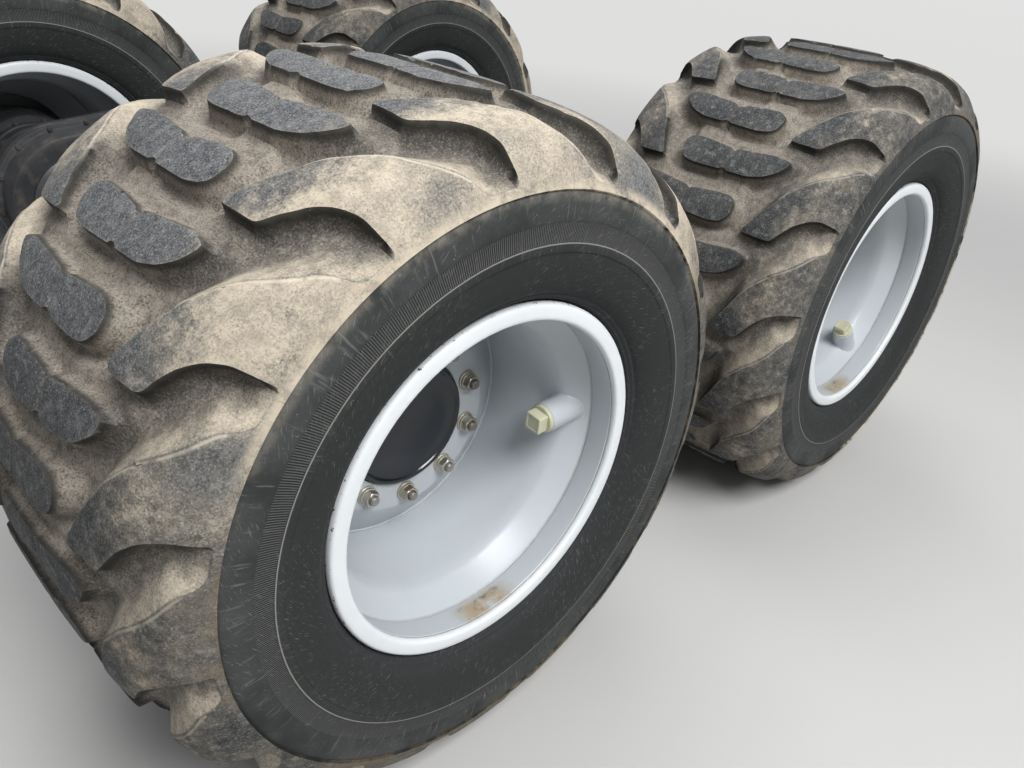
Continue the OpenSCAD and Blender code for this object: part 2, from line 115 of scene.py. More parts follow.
@dataclass
class Piece:
    """One object made of patches, which rides on a body of the frame.

    Attributes:
        name: Name of the finished object.
        body: Body that the object moves with.
        finishes: Materials in the order of their slots.
        patches: Patches with the slot that each takes.
    """

    name: str
    body: str
    finishes: list[bpy.types.Material]
    patches: list[tuple[Patch, int]] = field(default_factory=list)

    def add(self, patch: Patch, slot: int = 0) -> None:
        """Adds a closed patch, faces outwards.

        Args:
            patch: Patch to add.
            slot: Number of the finish that it takes.
        """
        patch.face_outwards()
        self.patches.append((patch, slot))

    def build(
        self, stands_for: tuple[str, ...], sharp: float = 32.0, hollow: float | None = None
    ) -> bpy.types.Object:
        """Makes the mesh object, smooth but for edges above an angle.

        Args:
            stands_for: Nodes of the frame that the object replaces.
            sharp: Angle in degrees from which an edge stays crisp.
            hollow: Value of the second mark from which every edge is smooth, or None.

        Returns:
            The finished object.
        """
        points = np.concatenate([patch.points for patch, _ in self.patches])
        marks = np.concatenate([patch.marks for patch, _ in self.patches])
        turn = np.concatenate([patch.turn for patch, _ in self.patches])
        level = np.concatenate([patch.level for patch, _ in self.patches])
        corners, sizes, slots, around = [], [], [], []
        start = 0
        for patch, slot in self.patches:
            for block in patch.faces:
                block = block + start
                share = turn[block]
                wraps = (share.max(1) - share.min(1) > 0.5)[:, None] & (share < 0.5)
                around.append((share + wraps).ravel())
                corners.append(block.ravel())
                sizes.append(np.full(len(block), block.shape[1]))
                slots.append(np.full(len(block), slot))
            start += len(patch.points)
        corner, size = np.concatenate(corners), np.concatenate(sizes)
        mesh = bpy.data.meshes.new(self.name)
        mesh.vertices.add(len(points))
        mesh.vertices.foreach_set("co", points.astype(np.float32).ravel())
        mesh.loops.add(len(corner))
        mesh.loops.foreach_set("vertex_index", corner.astype(np.int32))
        mesh.polygons.add(len(size))
        mesh.polygons.foreach_set("loop_start", (np.cumsum(size) - size).astype(np.int32))
        mesh.polygons.foreach_set("material_index", np.concatenate(slots).astype(np.int32))
        mesh.update(calc_edges=True)
        polar = np.stack([np.concatenate(around), level[corner]], 1)
        mesh.uv_layers.new(name="polar").data.foreach_set("uv", polar.astype(np.float32).ravel())
        held = mesh.attributes.new("marks", "FLOAT_COLOR", "POINT")
        held.data.foreach_set("color", marks.astype(np.float32).ravel())
        if any(patch.facing is not None for patch, _ in self.patches):
            rows = [np.zeros_like(p.points) if p.facing is None else p.facing for p, _ in self.patches]
            held = mesh.attributes.new("facing", "FLOAT_VECTOR", "POINT")
            held.data.foreach_set("vector", np.concatenate(rows).astype(np.float32).ravel())
        mesh.shade_smooth()
        mesh.set_sharp_from_angle(angle=math.radians(sharp))
        if hollow is not None:
            ends, crisp = np.empty(2 * len(mesh.edges), np.int32), np.empty(len(mesh.edges), bool)
            mesh.edges.foreach_get("vertices", ends)
            held = mesh.attributes["sharp_edge"]
            held.data.foreach_get("value", crisp)
            held.data.foreach_set("value", crisp & (marks[ends.reshape(-1, 2), 1].min(1) < hollow))
        for finish in self.finishes:
            mesh.materials.append(finish)
        thing = bpy.data.objects.new(self.name, mesh)
        bpy.context.scene.collection.objects.link(thing)
        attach(thing, self.body)
        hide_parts(*stands_for)
        triangles = int((size - 2).sum())
        TALLY.append(triangles)
        LOG.info("%s: %d triangles on %s", self.name, triangles, self.body)
        return thing


@dataclass(frozen=True)
class Axis:
    """A turning axis with its own directions.

    Attributes:
        centre: Point at its middle.
        zero: Direction at no turn.
        quarter: Direction at a quarter turn.
        outwards: Direction along the axis.
    """

    centre: Triple
    zero: Triple
    quarter: Triple
    outwards: Triple

    def at(self, radius: Array, angle: Array, along: Array) -> Array:
        """Centre, plus radius times (cosine of the angle to zero and its sine to quarter), plus along.

        Args:
            radius: Distances from the axis.
            angle: Angles in radians.
            along: Distances along the axis.

        Returns:
            Points, with x, y, z in the last dimension.
        """
        radius, angle, along = np.broadcast_arrays(radius, angle, along)
        return (
            np.array(self.centre)
            + (radius * np.cos(angle))[..., None] * np.array(self.zero)
            + (radius * np.sin(angle))[..., None] * np.array(self.quarter)
            + along[..., None] * np.array(self.outwards)
        )


def cross_axis(x: float, z: float, side: int, y: float = 0.0) -> Axis:
    """Axis across the vehicle: outwards on its side, no turn ahead and a quarter turn up."""
    return Axis((x, y, z), (1, 0, 0), (0, 0, 1), (0, side, 0))


def grid_faces(rows: int, columns: int, wrap_rows: bool, wrap_columns: bool) -> Array:
    """Joins each point of a grid to the next row and the next column.

    Args:
        rows: Number of rows.
        columns: Number of columns.
        wrap_rows: Whether the last row joins the first.
        wrap_columns: Whether the last column joins the first.

    Returns:
        Quads as rows of four point numbers.
    """
    row, column = np.meshgrid(
        np.arange(rows if wrap_rows else rows - 1),
        np.arange(columns if wrap_columns else columns - 1),
        indexing="ij",
    )
    below, beside = (row + 1) % rows, (column + 1) % columns
    quads = [row * columns + column, row * columns + beside, below * columns + beside, below * columns + column]
    return np.stack(quads, -1).reshape(-1, 4)


def capped(rings: int, around: int) -> list[Array]:
    """Faces of a stack of rings with a flat cap at both ends.

    Args:
        rings: Number of rings.
        around: Points in each ring.

    Returns:
        Quads and the two caps.
    """
    here = np.arange(around)
    return [grid_faces(rings, around, False, True), np.stack([here[::-1], here + (rings - 1) * around])]


def pointed(rings: int, around: int) -> list[Array]:
    """Faces of a stack of rings that ends in two poles, the points that follow the rings.

    Args:
        rings: Number of rings.
        around: Points in each ring.

    Returns:
        Quads and the triangles at both poles.
    """
    here = np.arange(around)
    following, last, poles = (here + 1) % around, (rings - 1) * around, rings * around
    return [
        grid_faces(rings, around, False, True),
        np.stack([np.full(around, poles), following, here], 1),
        np.stack([np.full(around, poles + 1), last + here, last + following], 1),
    ]


def split_quads(quads: Array, height: Array) -> Array:
    """Splits each quad along the diagonal whose two ends differ least in height.

    Args:
        quads: Rows of four point numbers.
        height: Height of each point.

    Returns:
        Rows of three point numbers.
    """
    apart = np.abs(height[quads[:, :2]] - height[quads[:, 2:]])
    turned = np.where((apart[:, 0] <= apart[:, 1])[:, None], quads, np.roll(quads, -1, 1))
    return np.concatenate([turned[:, [0, 1, 2]], turned[:, [0, 2, 3]]])


def drift(rows: int, columns: int, row_cells: int, column_cells: int, seed: int) -> Array:
    """Smooth random field from 0 to 1: random values on a coarse grid, eased from one to the next.

    The columns wrap round.

    Args:
        rows: Number of rows.
        columns: Number of columns.
        row_cells: Coarse steps along the rows.
        column_cells: Coarse steps round the columns.
        seed: Seed of the random values.

    Returns:
        The field.
    """
    coarse = np.random.default_rng(seed).random((row_cells + 2, column_cells))
    v, u = np.linspace(0, row_cells, rows), np.arange(columns) * column_cells / columns
    i, j = v.astype(int)[:, None], u.astype(int)[None]
    a, b = v[:, None] - i, u[None] - j
    a, b = a * a * (3 - 2 * a), b * b * (3 - 2 * b)
    beside = (j + 1) % column_cells
    upper = coarse[i, j] * (1 - b) + coarse[i, beside] * b
    lower = coarse[i + 1, j] * (1 - b) + coarse[i + 1, beside] * b
    return upper * (1 - a) + lower * a


def eased(corners: Array, reach: float | Array, steps: int = 4, loop: bool = True) -> Array:
    """Rounds a polyline: each corner becomes the parabola (1-t)^2 a + 2t(1-t) corner + t^2 b.

    The points a and b lie on the corner's two sides, at the given reach or at 45% of the side.

    Args:
        corners: One row for each corner, its place in the first two columns.
        reach: Reach of the rounding, one for all or one for each corner.
        steps: Number of steps in each parabola.
        loop: Whether the line is closed. The ends of an open line stay.

    Returns:
        The rounded line, with all the columns carried along.
    """
    before, after = np.roll(corners, 1, 0), np.roll(corners, -1, 0)
    to_before, to_after = before - corners, after - corners
    back = np.linalg.norm(to_before[:, :2], axis=1)
    ahead = np.linalg.norm(to_after[:, :2], axis=1)
    reach = np.broadcast_to(np.asarray(reach, float), back.shape)
    a = corners + to_before * (np.minimum(reach, 0.45 * back) / np.maximum(back, 1e-9))[:, None]
    b = corners + to_after * (np.minimum(reach, 0.45 * ahead) / np.maximum(ahead, 1e-9))[:, None]
    t = np.linspace(0, 1, steps + 1)[None, :, None]
    line = (1 - t) ** 2 * a[:, None] + 2 * t * (1 - t) * corners[:, None] + t**2 * b[:, None]
    if loop:
        return line.reshape(-1, corners.shape[1])
    return np.concatenate([corners[:1], line[1:-1].reshape(-1, corners.shape[1]), corners[-1:]])


def rounded(table: Table | Array, steps: int = 2, loop: bool = False) -> Array:
    """Rounds a profile that is given in millimetres, with the reach of each corner.

    Args:
        table: Rows of two places and the reach.
        steps: Number of steps in each corner.
        loop: Whether the profile is closed.

    Returns:
        The rounded profile in metres.
    """
    rows = np.array(table, float) * MM
    return eased(rows[:, :2], rows[:, 2], steps, loop)


def smooth_line(corners: Array, samples: int) -> Array:
    """Carries a Catmull-Rom curve through the points and spaces it evenly by length.

    Args:
        corners: Points of the line, one row each.
        samples: Number of points to return.

    Returns:
        The evenly spaced line.
    """
    held = np.concatenate([2 * corners[:1] - corners[1:2], corners, 2 * corners[-1:] - corners[-2:-1]])
    p0, p1, p2, p3 = (held[k : len(held) - 3 + k][:, None] for k in range(4))
    t = np.linspace(0, 1, 24, endpoint=False)[None, :, None]
    curve = 0.5 * (
        2 * p1 + (p2 - p0) * t + (2 * p0 - 5 * p1 + 4 * p2 - p3) * t**2 + (3 * p1 - p0 - 3 * p2 + p3) * t**3
    )
    dense = np.concatenate([curve.reshape(-1, corners.shape[1]), corners[-1:]])
    length = np.concatenate([[0], np.cumsum(np.linalg.norm(np.diff(dense, axis=0), axis=1))])
    wanted = np.linspace(0, length[-1], samples)
    return np.stack([np.interp(wanted, length, dense[:, k]) for k in range(dense.shape[1])], 1)


def lathe(axis: Axis, profile: Array, segments: int, loop: bool = True) -> Patch:
    """Carries a profile of (radius, along) round the axis in equal steps.

    Args:
        axis: Axis to turn about.
        profile: Rows of radius and distance along the axis, in metres.
        segments: Number of steps in a full turn.
        loop: Whether the profile is closed. An open one starts and ends on the axis, in poles.

    Returns:
        The closed shell.
    """
    rings = profile if loop else profile[1:-1]
    turn = np.arange(segments) / segments
    points = axis.at(rings[:, :1], turn[None] * math.tau, rings[:, 1:2]).reshape(-1, 3)
    turns = np.tile(turn, len(rings))
    radius, along = np.repeat(rings[:, 0], segments), np.repeat(rings[:, 1], segments)
    faces = [grid_faces(len(rings), segments, True, True)] if loop else pointed(len(rings), segments)
    if not loop:
        ends = profile[[0, -1], 1]
        points = np.concatenate([points, axis.at(np.zeros(2), np.zeros(2), ends)])
        turns, radius, along = np.append(turns, [0, 0]), np.append(radius, [0, 0]), np.append(along, ends)
    marks = np.stack([radius, along, np.zeros_like(radius), np.ones_like(radius)], 1)
    return Patch(points, faces, turns, along, marks)


# Finishes


class Value:
    """Output of a node. Its signs add Math nodes."""

    def __init__(self, graph: "Graph", socket: Socket) -> None:
        """Keeps the output with its graph.

        Args:
            graph: Graph that it belongs to.
            socket: The output.
        """
        self.graph, self.socket = graph, socket

    def __add__(self, other: object) -> "Value":
        """Sum with a value or a number."""
        return self.graph.math("ADD", self, other)

    def __sub__(self, other: object) -> "Value":
        """Difference to a value or a number."""
        return self.graph.math("SUBTRACT", self, other)

    def __rsub__(self, other: float) -> "Value":
        """A number less the value."""
        return self.graph.math("SUBTRACT", other, self)

    def __mul__(self, other: object) -> "Value":
        """Product with a value or a number."""
        return self.graph.math("MULTIPLY", self, other)

    def __abs__(self) -> "Value":
        """The value without its sign."""
        return self.graph.math("ABSOLUTE", self)

    def between(self, low: float, high: float) -> "Value":
        """Rises smoothly from 0 at low to 1 at high, or falls where low is the larger.

        Args:
            low: Value that gives 0.
            high: Value that gives 1.

        Returns:
            The mask.
        """
        made = self.graph.node("ShaderNodeMapRange", interpolation_type="SMOOTHSTEP")
        self.graph.feed(made.inputs["Value"], self)
        flip = low > high
        ends = (min(low, high), max(low, high), float(flip), float(not flip))
        for name, value in zip(("From Min", "From Max", "To Min", "To Max"), ends):
            made.inputs[name].default_value = value
        return Value(self.graph, made.outputs["Result"])

    def band(self, low: float, high: float, soft: float) -> "Value":
        """Mask that is 1 between two values.

        Args:
            low: Lower border.
            high: Upper border.
            soft: Width of the soft borders.

        Returns:
            The mask.
        """
        return self.between(low - soft, low) * self.between(high + soft, high)


class Graph:
    """Short calls for building one node tree."""

    def __init__(self, tree: bpy.types.NodeTree) -> None:
        """Keeps the tree.

        Args:
            tree: Node tree to build in.
        """
        self.tree = tree

    def node(self, kind: str, **settings: object) -> bpy.types.Node:
        """Adds a node.

        Args:
            kind: Type name of the node.
            settings: Its properties by name.

        Returns:
            The new node.
        """
        made = self.tree.nodes.new(kind)
        for name, value in settings.items():
            setattr(made, name, value)
        return made

    def feed(self, socket: Socket, value: object) -> None:
        """Links a socket, or sets its constant.

        Args:
            socket: Input to feed.
            value: A value of the graph, or a constant.
        """
        if isinstance(value, Value):
            self.tree.links.new(value.socket, socket)
        else:
            socket.default_value = value

    def call(self, kind: str, *values: object, output: str | int = 0, **settings: object) -> Value:
        """Adds a node and feeds its inputs in order.

        Args:
            kind: Type name of the node.
            values: Its inputs.
            output: Output to give.
            settings: Its properties by name.

        Returns:
            The output.
        """
        made = self.node(kind, **settings)
        for socket, value in zip(made.inputs, values):
            self.feed(socket, value)
        return Value(self, made.outputs[output])

    def math(self, operation: str, *values: object, clamp: bool = False) -> Value:
        """Adds a Math node.

        Args:
            operation: Name of the operation.
            values: Its inputs in order.
            clamp: Whether the result stays between 0 and 1.

        Returns:
            The result.
        """
        return self.call("ShaderNodeMath", *values, operation=operation, use_clamp=clamp)

    def mix(self, share: object, first: object, second: object) -> Value:
        """Mixes two colours.

        Args:
            share: Share of the second colour.
            first: First colour.
            second: Second colour.

        Returns:
            The colour.
        """
        made = self.node("ShaderNodeMix", data_type="RGBA")
        self.feed(made.inputs["Factor"], share)
        for name, value in (("A", first), ("B", second)):
            colours = [s for s in made.inputs if s.name == name and s.type == "RGBA"]
            self.feed(colours[0], (*value, 1.0) if isinstance(value, tuple) else value)
        return Value(self, [s for s in made.outputs if s.type == "RGBA"][0])

    def layers(self, base: object, *coats: tuple[object, object]) -> Value:
        """Covers a colour with others in turn.

        Args:
            base: Colour at the bottom.
            coats: Share and colour of each coat over it.

        Returns:
            The colour on top.
        """
        for share, colour in coats:
            base = self.mix(share, base, colour)
        return base

    def coordinates(self) -> Value:
        """Object coordinates."""
        return self.call("ShaderNodeTexCoord", output="Object")

    def noise(self, scale: object, detail: float = 3.0, rough: float = 0.55, place: Value | None = None) -> Value:
        """Reads noise on Object coordinates, or on a given vector.

        Args:
            scale: Grains in a metre.
            detail: Octaves.
            rough: Weight of the finer octaves.
            place: Vector to read, or None for Object coordinates.

        Returns:
            The noise.
        """
        made = self.node("ShaderNodeTexNoise")
        inputs = {"Scale": scale, "Detail": detail, "Roughness": rough, "Vector": place or self.coordinates()}
        for name, value in inputs.items():
            self.feed(made.inputs[name], value)
        return Value(self, made.outputs[0])

    def marks(self) -> tuple[Value, ...]:
        """Reads the four marks of the piece's points.

        Returns:
            The marks.
        """
        held = self.node("ShaderNodeAttribute", attribute_name="marks")
        split = self.node("ShaderNodeSeparateColor")
        self.feed(split.inputs[0], Value(self, held.outputs["Color"]))
        return tuple(Value(self, s) for s in (*tuple(split.outputs)[:3], held.outputs["Alpha"]))

    def lean(self) -> Value:
        """Cosine of the angle between the surface and the way that the unworn surface faces.

        Returns:
            The cosine.
        """
        normal = self.call("ShaderNodeTexCoord", output="Normal")
        facing = self.call("ShaderNodeAttribute", output="Vector", attribute_name="facing")
        return self.call("ShaderNodeVectorMath", normal, facing, output="Value", operation="DOT_PRODUCT")

    def polar(self) -> tuple[Value, Value]:
        """Reads the piece's own polar map.

        Returns:
            Share of a turn, and level.
        """
        split = self.node("ShaderNodeSeparateXYZ")
        self.feed(split.inputs[0], self.call("ShaderNodeUVMap", uv_map="polar"))
        return Value(self, split.outputs[0]), Value(self, split.outputs[1])

    def beheld(self) -> Value:
        """1 for the rays that show the background: the camera's, a reflection's and those through glass.

        Returns:
            The mask.
        """
        path = self.node("ShaderNodeLightPath").outputs
        camera, glossy, through = (Value(self, path[f"Is {k} Ray"]) for k in ("Camera", "Glossy", "Transmission"))
        return self.math("ADD", camera + glossy, through, clamp=True)

    def bump(self, height: Value, depth: float, below: Value | None = None) -> Value:
        """Adds a Bump node.

        Args:
            height: Height from 0 to 1.
            depth: Depth in metres that 1 stands for.
            below: Normal to build on.

        Returns:
            The normal.
        """
        made = self.node("ShaderNodeBump")
        made.inputs["Strength"].default_value = 1.0
        made.inputs["Distance"].default_value = depth
        self.feed(made.inputs["Height"], height)
        if below is not None:
            self.feed(made.inputs["Normal"], below)
        return Value(self, made.outputs[0])

    def dress(self, shader: bpy.types.Node, colour: Value, rough: Value, normal: Value) -> None:
        """Feeds the shader what changes over the surface.

        Args:
            shader: Principled BSDF of the material.
            colour: Base colour.
            rough: Roughness.
            normal: Normal.
        """
        for name, value in (("Base Color", colour), ("Roughness", rough), ("Normal", normal)):
            self.feed(shader.inputs[name], value)


class Weathering:
    """Effect that all finishes share: fine grain, slow drift of the shade, and settled dust.

    Grain is noise of the given scale. Drift is slow noise. Dust is slower noise, cut off below 0.62
    less 0.3 times the dust's share, and times that share.
    """

    tree: bpy.types.ShaderNodeTree | None = None

    @classmethod
    def built(cls) -> bpy.types.ShaderNodeTree:
        """Builds the group once.

        Returns:
            The group's node tree.
        """
        if cls.tree is None:
            cls.tree = bpy.data.node_groups.new("weathering", "ShaderNodeTree")
            sockets = cls.tree.interface
            for name, value in (("Grain Scale", 180.0), ("Dust Share", 0.3)):
                socket = sockets.new_socket(name, in_out="INPUT", socket_type="NodeSocketFloat")
                socket.default_value = value
            for name in ("Grain", "Drift", "Dust"):
                sockets.new_socket(name, in_out="OUTPUT", socket_type="NodeSocketFloat")
            graph = Graph(cls.tree)
            given, taken = graph.node("NodeGroupInput"), graph.node("NodeGroupOutput")
            scale, share = (Value(graph, given.outputs[name]) for name in ("Grain Scale", "Dust Share"))
            least = share * -0.3 + 0.62
            room = graph.math("DIVIDE", graph.noise(22.0, 5.0, 0.65) - least, 0.85 - least)
            graph.feed(taken.inputs["Grain"], graph.noise(scale, 3.0, 0.65))
            graph.feed(taken.inputs["Drift"], graph.noise(8.0, 4.0, 0.6))
            graph.feed(taken.inputs["Dust"], room.between(0.0, 1.0) * share)
        return cls.tree

    @classmethod
    def place(cls, graph: Graph, scale: float, dust: float = 0.0) -> tuple[Value, ...]:
        """Places the group in a finish.

        Args:
            graph: Graph of the finish.
            scale: Grains in a metre.
            dust: Share of the surface that dust covers.

        Returns:
            Grain, drift and dust.
        """
        made = graph.node("ShaderNodeGroup", node_tree=cls.built())
        made.inputs["Grain Scale"].default_value = scale
        made.inputs["Dust Share"].default_value = dust
        return tuple(Value(graph, socket) for socket in made.outputs)


@dataclass(frozen=True)
class Finish:
    """A finish whose node tree a subclass draws.

    Attributes:
        name: Name of the material.
    """

    name: str

    def make(self) -> bpy.types.Material:
        """Makes the material with its Principled BSDF and lets the subclass draw the rest.

        Returns:
            The finished material.
        """
        material = bpy.data.materials.new(self.name)
        material.use_nodes = True
        self.draw(Graph(material.node_tree), material.node_tree.nodes["Principled BSDF"])
        return material

    def draw(self, graph: Graph, shader: bpy.types.Node) -> None:
        """Draws the finish into the graph.

        Args:
            graph: Graph of the material.
            shader: Its Principled BSDF.
        """
        raise NotImplementedError


class RubberGraph(Graph):
    """Graph with all that the rubber reads: the piece's marks and map, and noise of several sizes."""

    def __init__(self, tree: bpy.types.NodeTree) -> None:
        """Reads each once.

        Args:
            tree: Node tree of the rubber.
        """
        super().__init__(tree)
        # The first mark is the share of dust, which also sets painted shade: the rubber is painted darker where it
        # is low.
        self.cake, self.depth, self.across, self.edge = self.marks()
        self.turn, self.level = self.polar()
        self.wall = self.lean().between(0.78, 0.40)
        self.away = 1.0 - self.level
        self.middle = self.across.between(0.52, 0.30)
        self.grit, self.soft, _ = Weathering.place(self, 170.0)
        self.broad = self.noise(3.2, 3.0, 0.5)
        self.mottle = self.noise(42.0, 4.0, 0.68)
        self.blotch = self.noise(58.0, 5.0, 0.66)
        self.hatch = self.noise(320.0, 3.0, 0.72)


@dataclass(frozen=True)
class TyreRubber(Finish):
    """Worn tyre rubber: dark grey tops, pale dust on the shoulder and the slopes, a ribbed sidewall.

    Marks are the share of settled dust, the depth in the groove, the place across the tread and the nearness of a
    top's edge. The first mark also sets painted shade: the rubber is painted darker where it is low and lighter
    where it is high. The level is the nearness of a steep wall's foot on the tread, where the floor is painted
    darker as shade, and the distance from the axis on the casing. A pair of colours holds the two ends of a drift.
    """

    # A darker and a lighter copy of the top's rubber, mixed by the share of dust: painted shade and painted light.
    clean: Pair = ((0.020, 0.022, 0.023), (0.072, 0.071, 0.067))
    worn: Pair = ((0.058, 0.062, 0.068), (0.160, 0.166, 0.175))
    film: Triple = (0.165, 0.165, 0.160)
    pit: Triple = (0.012, 0.013, 0.014)
    scuff: Triple = (0.018, 0.020, 0.022)
    bloom: Triple = (0.245, 0.245, 0.238)
    fleck: Triple = (0.400, 0.392, 0.370)
    grain: Triple = (0.330, 0.325, 0.305)
    mud: Triple = (0.125, 0.096, 0.060)
    floor: Pair = ((0.160, 0.146, 0.126), (0.345, 0.308, 0.262))
    # Painted shade on the groove floors at the feet of steep walls.
    foot: Pair = ((0.074, 0.069, 0.062), (0.215, 0.188, 0.156))
    floor_pit: Triple = (0.032, 0.029, 0.026)
    floor_stain: Triple = (0.052, 0.046, 0.040)
    floor_bloom: Triple = (0.440, 0.395, 0.335)
    floor_fleck: Triple = (0.480, 0.430, 0.365)
    # Painted shadow on the steep walls, darkest at their top.
    wall_shadow: Triple = (0.012, 0.012, 0.011)
    sand: Pair = ((0.215, 0.192, 0.155), (0.530, 0.460, 0.360))
    ridge: Pair = ((0.300, 0.270, 0.225), (0.560, 0.500, 0.400))
    seam: Triple = (0.175, 0.128, 0.078)
    sparkle: Triple = (0.50, 0.48, 0.43)
    side: Pair = ((0.024, 0.026, 0.026), (0.056, 0.060, 0.060))
    bead: Triple = (0.030, 0.031, 0.033)
    # Painted shade between the sidewall's ribs and painted highlight on their crests.
    rib_shade: Triple = (0.012, 0.013, 0.014)
    rib_highlight: Triple = (0.100, 0.102, 0.098)
    line: Triple = (0.26, 0.25, 0.225)
    gap: Triple = (0.016, 0.016, 0.017)
    scratch: Triple = (0.20, 0.20, 0.19)
    hair: Triple = (0.26, 0.25, 0.23)
    ribs: int = 800
    rib_band: tuple[float, float] = (0.4795, 0.5110)
    line_band: tuple[float, float] = (0.4762, 0.4778)
    gap_band: tuple[float, float] = (0.4612, 0.4626)
    gloss: float = 0.18

    def sidewall(self, at: RubberGraph) -> tuple[Value, Value]:
        """Sidewall: a ribbed band with painted shade between the ribs and painted highlights on their crests, a
        pale ring line, darker towards the rim, fine scratches.

        Args:
            at: Graph of the rubber.

        Returns:
            Colour and height of the ribs.
        """
        turn, level, soft = at.turn, at.level, at.soft
        scratch = at.noise(1.0, 2.0, 0.5, at.call("ShaderNodeCombineXYZ", turn * 520.0, level * 18.0, 0.0))
        scratch = scratch.between(0.58, 0.78) * level.between(0.40, 0.56)
        across, along = turn * 900.0 + level * -420.0, turn * 80.0 + level * 36.0
        hair = at.noise(1.0, 2.0, 0.5, at.call("ShaderNodeCombineXYZ", across, along, 3.0))
        hair = hair.between(0.61, 0.72) * soft.between(0.36, 0.54)
        band = level.band(*self.rib_band, 0.0008)
        rib = at.math("SINE", turn * (self.ribs * math.tau)).between(-0.5, 0.5) * band
        colour = at.layers(
            at.mix(level.between(0.43, 0.56) * soft.between(0.25, 0.7), *self.side),
            (level.between(0.40, 0.36), self.bead),
            # Painted shade over the ribbed band, then painted highlight on each rib's crest.
            (band * 0.75, self.rib_shade),
            (rib * 0.8, self.rib_highlight),
            (level.band(*self.line_band, 0.0006) * 0.75, self.line),
            (level.band(*self.gap_band, 0.0006) * 0.7, self.gap),
            (scratch * 0.5, self.scratch),
            (hair * 0.34, self.hair),
        )
        return colour, rib

    def tops(self, at: RubberGraph) -> Value:
        """Running faces: painted darker as shade where the share of dust is low, flecked, and smeared towards the
        shoulder.

        Args:
            at: Graph of the rubber.

        Returns:
            Their colour.
        """
        clean = at.mix(at.soft.between(0.35, 0.70), *self.clean)
        worn = at.mix(at.soft * 1.1 - 0.1, *self.worn)
        smear = at.broad.between(0.38, 0.66) * at.soft.between(0.36, 0.66)
        smear *= at.mottle.between(0.38, 0.62) * 0.45 + 0.20
        return at.layers(
            # Painted shade and light: the darker copy where the share of dust is low, the lighter one where it is
            # high.
            at.mix(at.cake * 0.75 + 0.20, clean, worn),
            (at.mottle.between(0.42, 0.66) * (at.cake * 0.22 + 0.08), self.film),
            (at.hatch.between(0.49, 0.34) * 0.80, self.pit),
            (at.blotch.between(0.48, 0.34) * 0.48, self.scuff),
            (at.blotch.between(0.52, 0.68) * 0.42, self.bloom),
            (at.hatch.between(0.54, 0.66) * (at.cake * 0.32 + 0.26), self.fleck),
            (at.grit.between(0.61, 0.71) * 0.32, self.grain),
            (smear * at.across.between(0.42, 0.60), self.mud),
        )

    def floors(self, at: RubberGraph) -> Value:
        """Groove floors: paler in the tread's middle, painted darker as shade at the feet of steep walls, stained
        and flecked.

        Args:
            at: Graph of the rubber.

        Returns:
            Their colour.
        """
        plain = at.mix(at.middle * (at.cake * 0.4 + 0.5), *self.floor)
        return at.layers(
            # Painted shade: the floor is darker near the feet of steep walls, and has fewer pale blooms there.
            at.mix(at.level * 0.80, plain, at.mix(at.middle, *self.foot)),
            (at.hatch.between(0.50, 0.36) * 0.72, self.floor_pit),
            (at.blotch.between(0.50, 0.36) * 0.42, self.floor_stain),
            (at.blotch.between(0.50, 0.66) * (at.level * -0.30 + 0.42), self.floor_bloom),
            (at.hatch.between(0.53, 0.66) * 0.34, self.floor_fleck),
        )

    def settled(self, at: RubberGraph) -> Value:
        """Share of dust, on the tops towards the shoulder and on the slopes that run into the grooves.

        Args:
            at: Graph of the rubber.

        Returns:
            The share.
        """
        shoulder = at.math("MINIMUM", at.across, at.cake * 0.40 + 0.62) - 0.38
        shoulder += at.soft * 0.50 + at.mottle * 0.22 + at.grit * 0.14
        shoulder += (at.cake - 1.0) * 0.16 + (at.blotch - 0.5) * 0.24
        shoulder = shoulder.between(0.38, 0.80) * at.broad.between(0.22, 0.50)
        patch = (at.mottle * 0.45 + at.grit * 0.25 + at.soft).between(0.72, 1.10)
        shoulder *= at.across.between(0.68, 0.86) * patch * -0.80 + 1.0
        shoulder *= at.depth.between(0.16, 0.02)
        # The pale dust on the slopes thins out towards the walls' feet and deep in the grooves: partly less dust,
        # partly painted shade.
        slope = at.depth.between(0.02, 0.14) * (at.away * 0.95 + 0.05)
        slope *= at.depth.between(0.40, 1.0) * -0.70 + 1.0
        slope *= at.across.between(0.40, 0.66) * 0.55 + 0.45
        slope *= at.cake * 0.30 + 0.70
        slope *= at.soft.between(0.28, 0.56) * 0.6 + 0.4
        dusty = at.math("MAXIMUM", shoulder, slope) * (at.wall * -0.95 + 1.0)
        return at.math("MULTIPLY", dusty, at.hatch * 1.8 + 0.08, clamp=True)

    def tread(self, at: RubberGraph) -> Value:
        """Tops, walls painted near-black as shadow below their top edge, and floors under their dust, with rubbed
        ridges.

        Args:
            at: Graph of the rubber.

        Returns:
            Their colour.
        """
        floor, dusty = self.floors(at), self.settled(at)
        # Painted shadow on the steep walls: near-black at their top, fading to the floor's colour towards their
        # foot.
        low = (at.depth * (at.middle * 1.2 + 1.0)).between(0.08, 0.90)
        pale = (at.mottle.between(0.30, 0.62) * 0.55 + dusty * 0.45) * dusty.between(0.10, 0.70)
        rubbed = at.edge.between(0.68, 1.0) * (at.away * 0.66 + 0.08)
        rubbed *= at.mottle.between(0.30, 0.52) * 0.7 + 0.3
        return at.layers(
            self.tops(at),
            (at.depth.between(0.03, 0.25), floor),
            # Painted shadow on the steep walls.
            (at.wall, at.mix(low, self.wall_shadow, floor)),
            (dusty * 0.95, at.mix(pale, *self.sand)),
            (rubbed, at.mix(at.cake, *self.ridge)),
        )

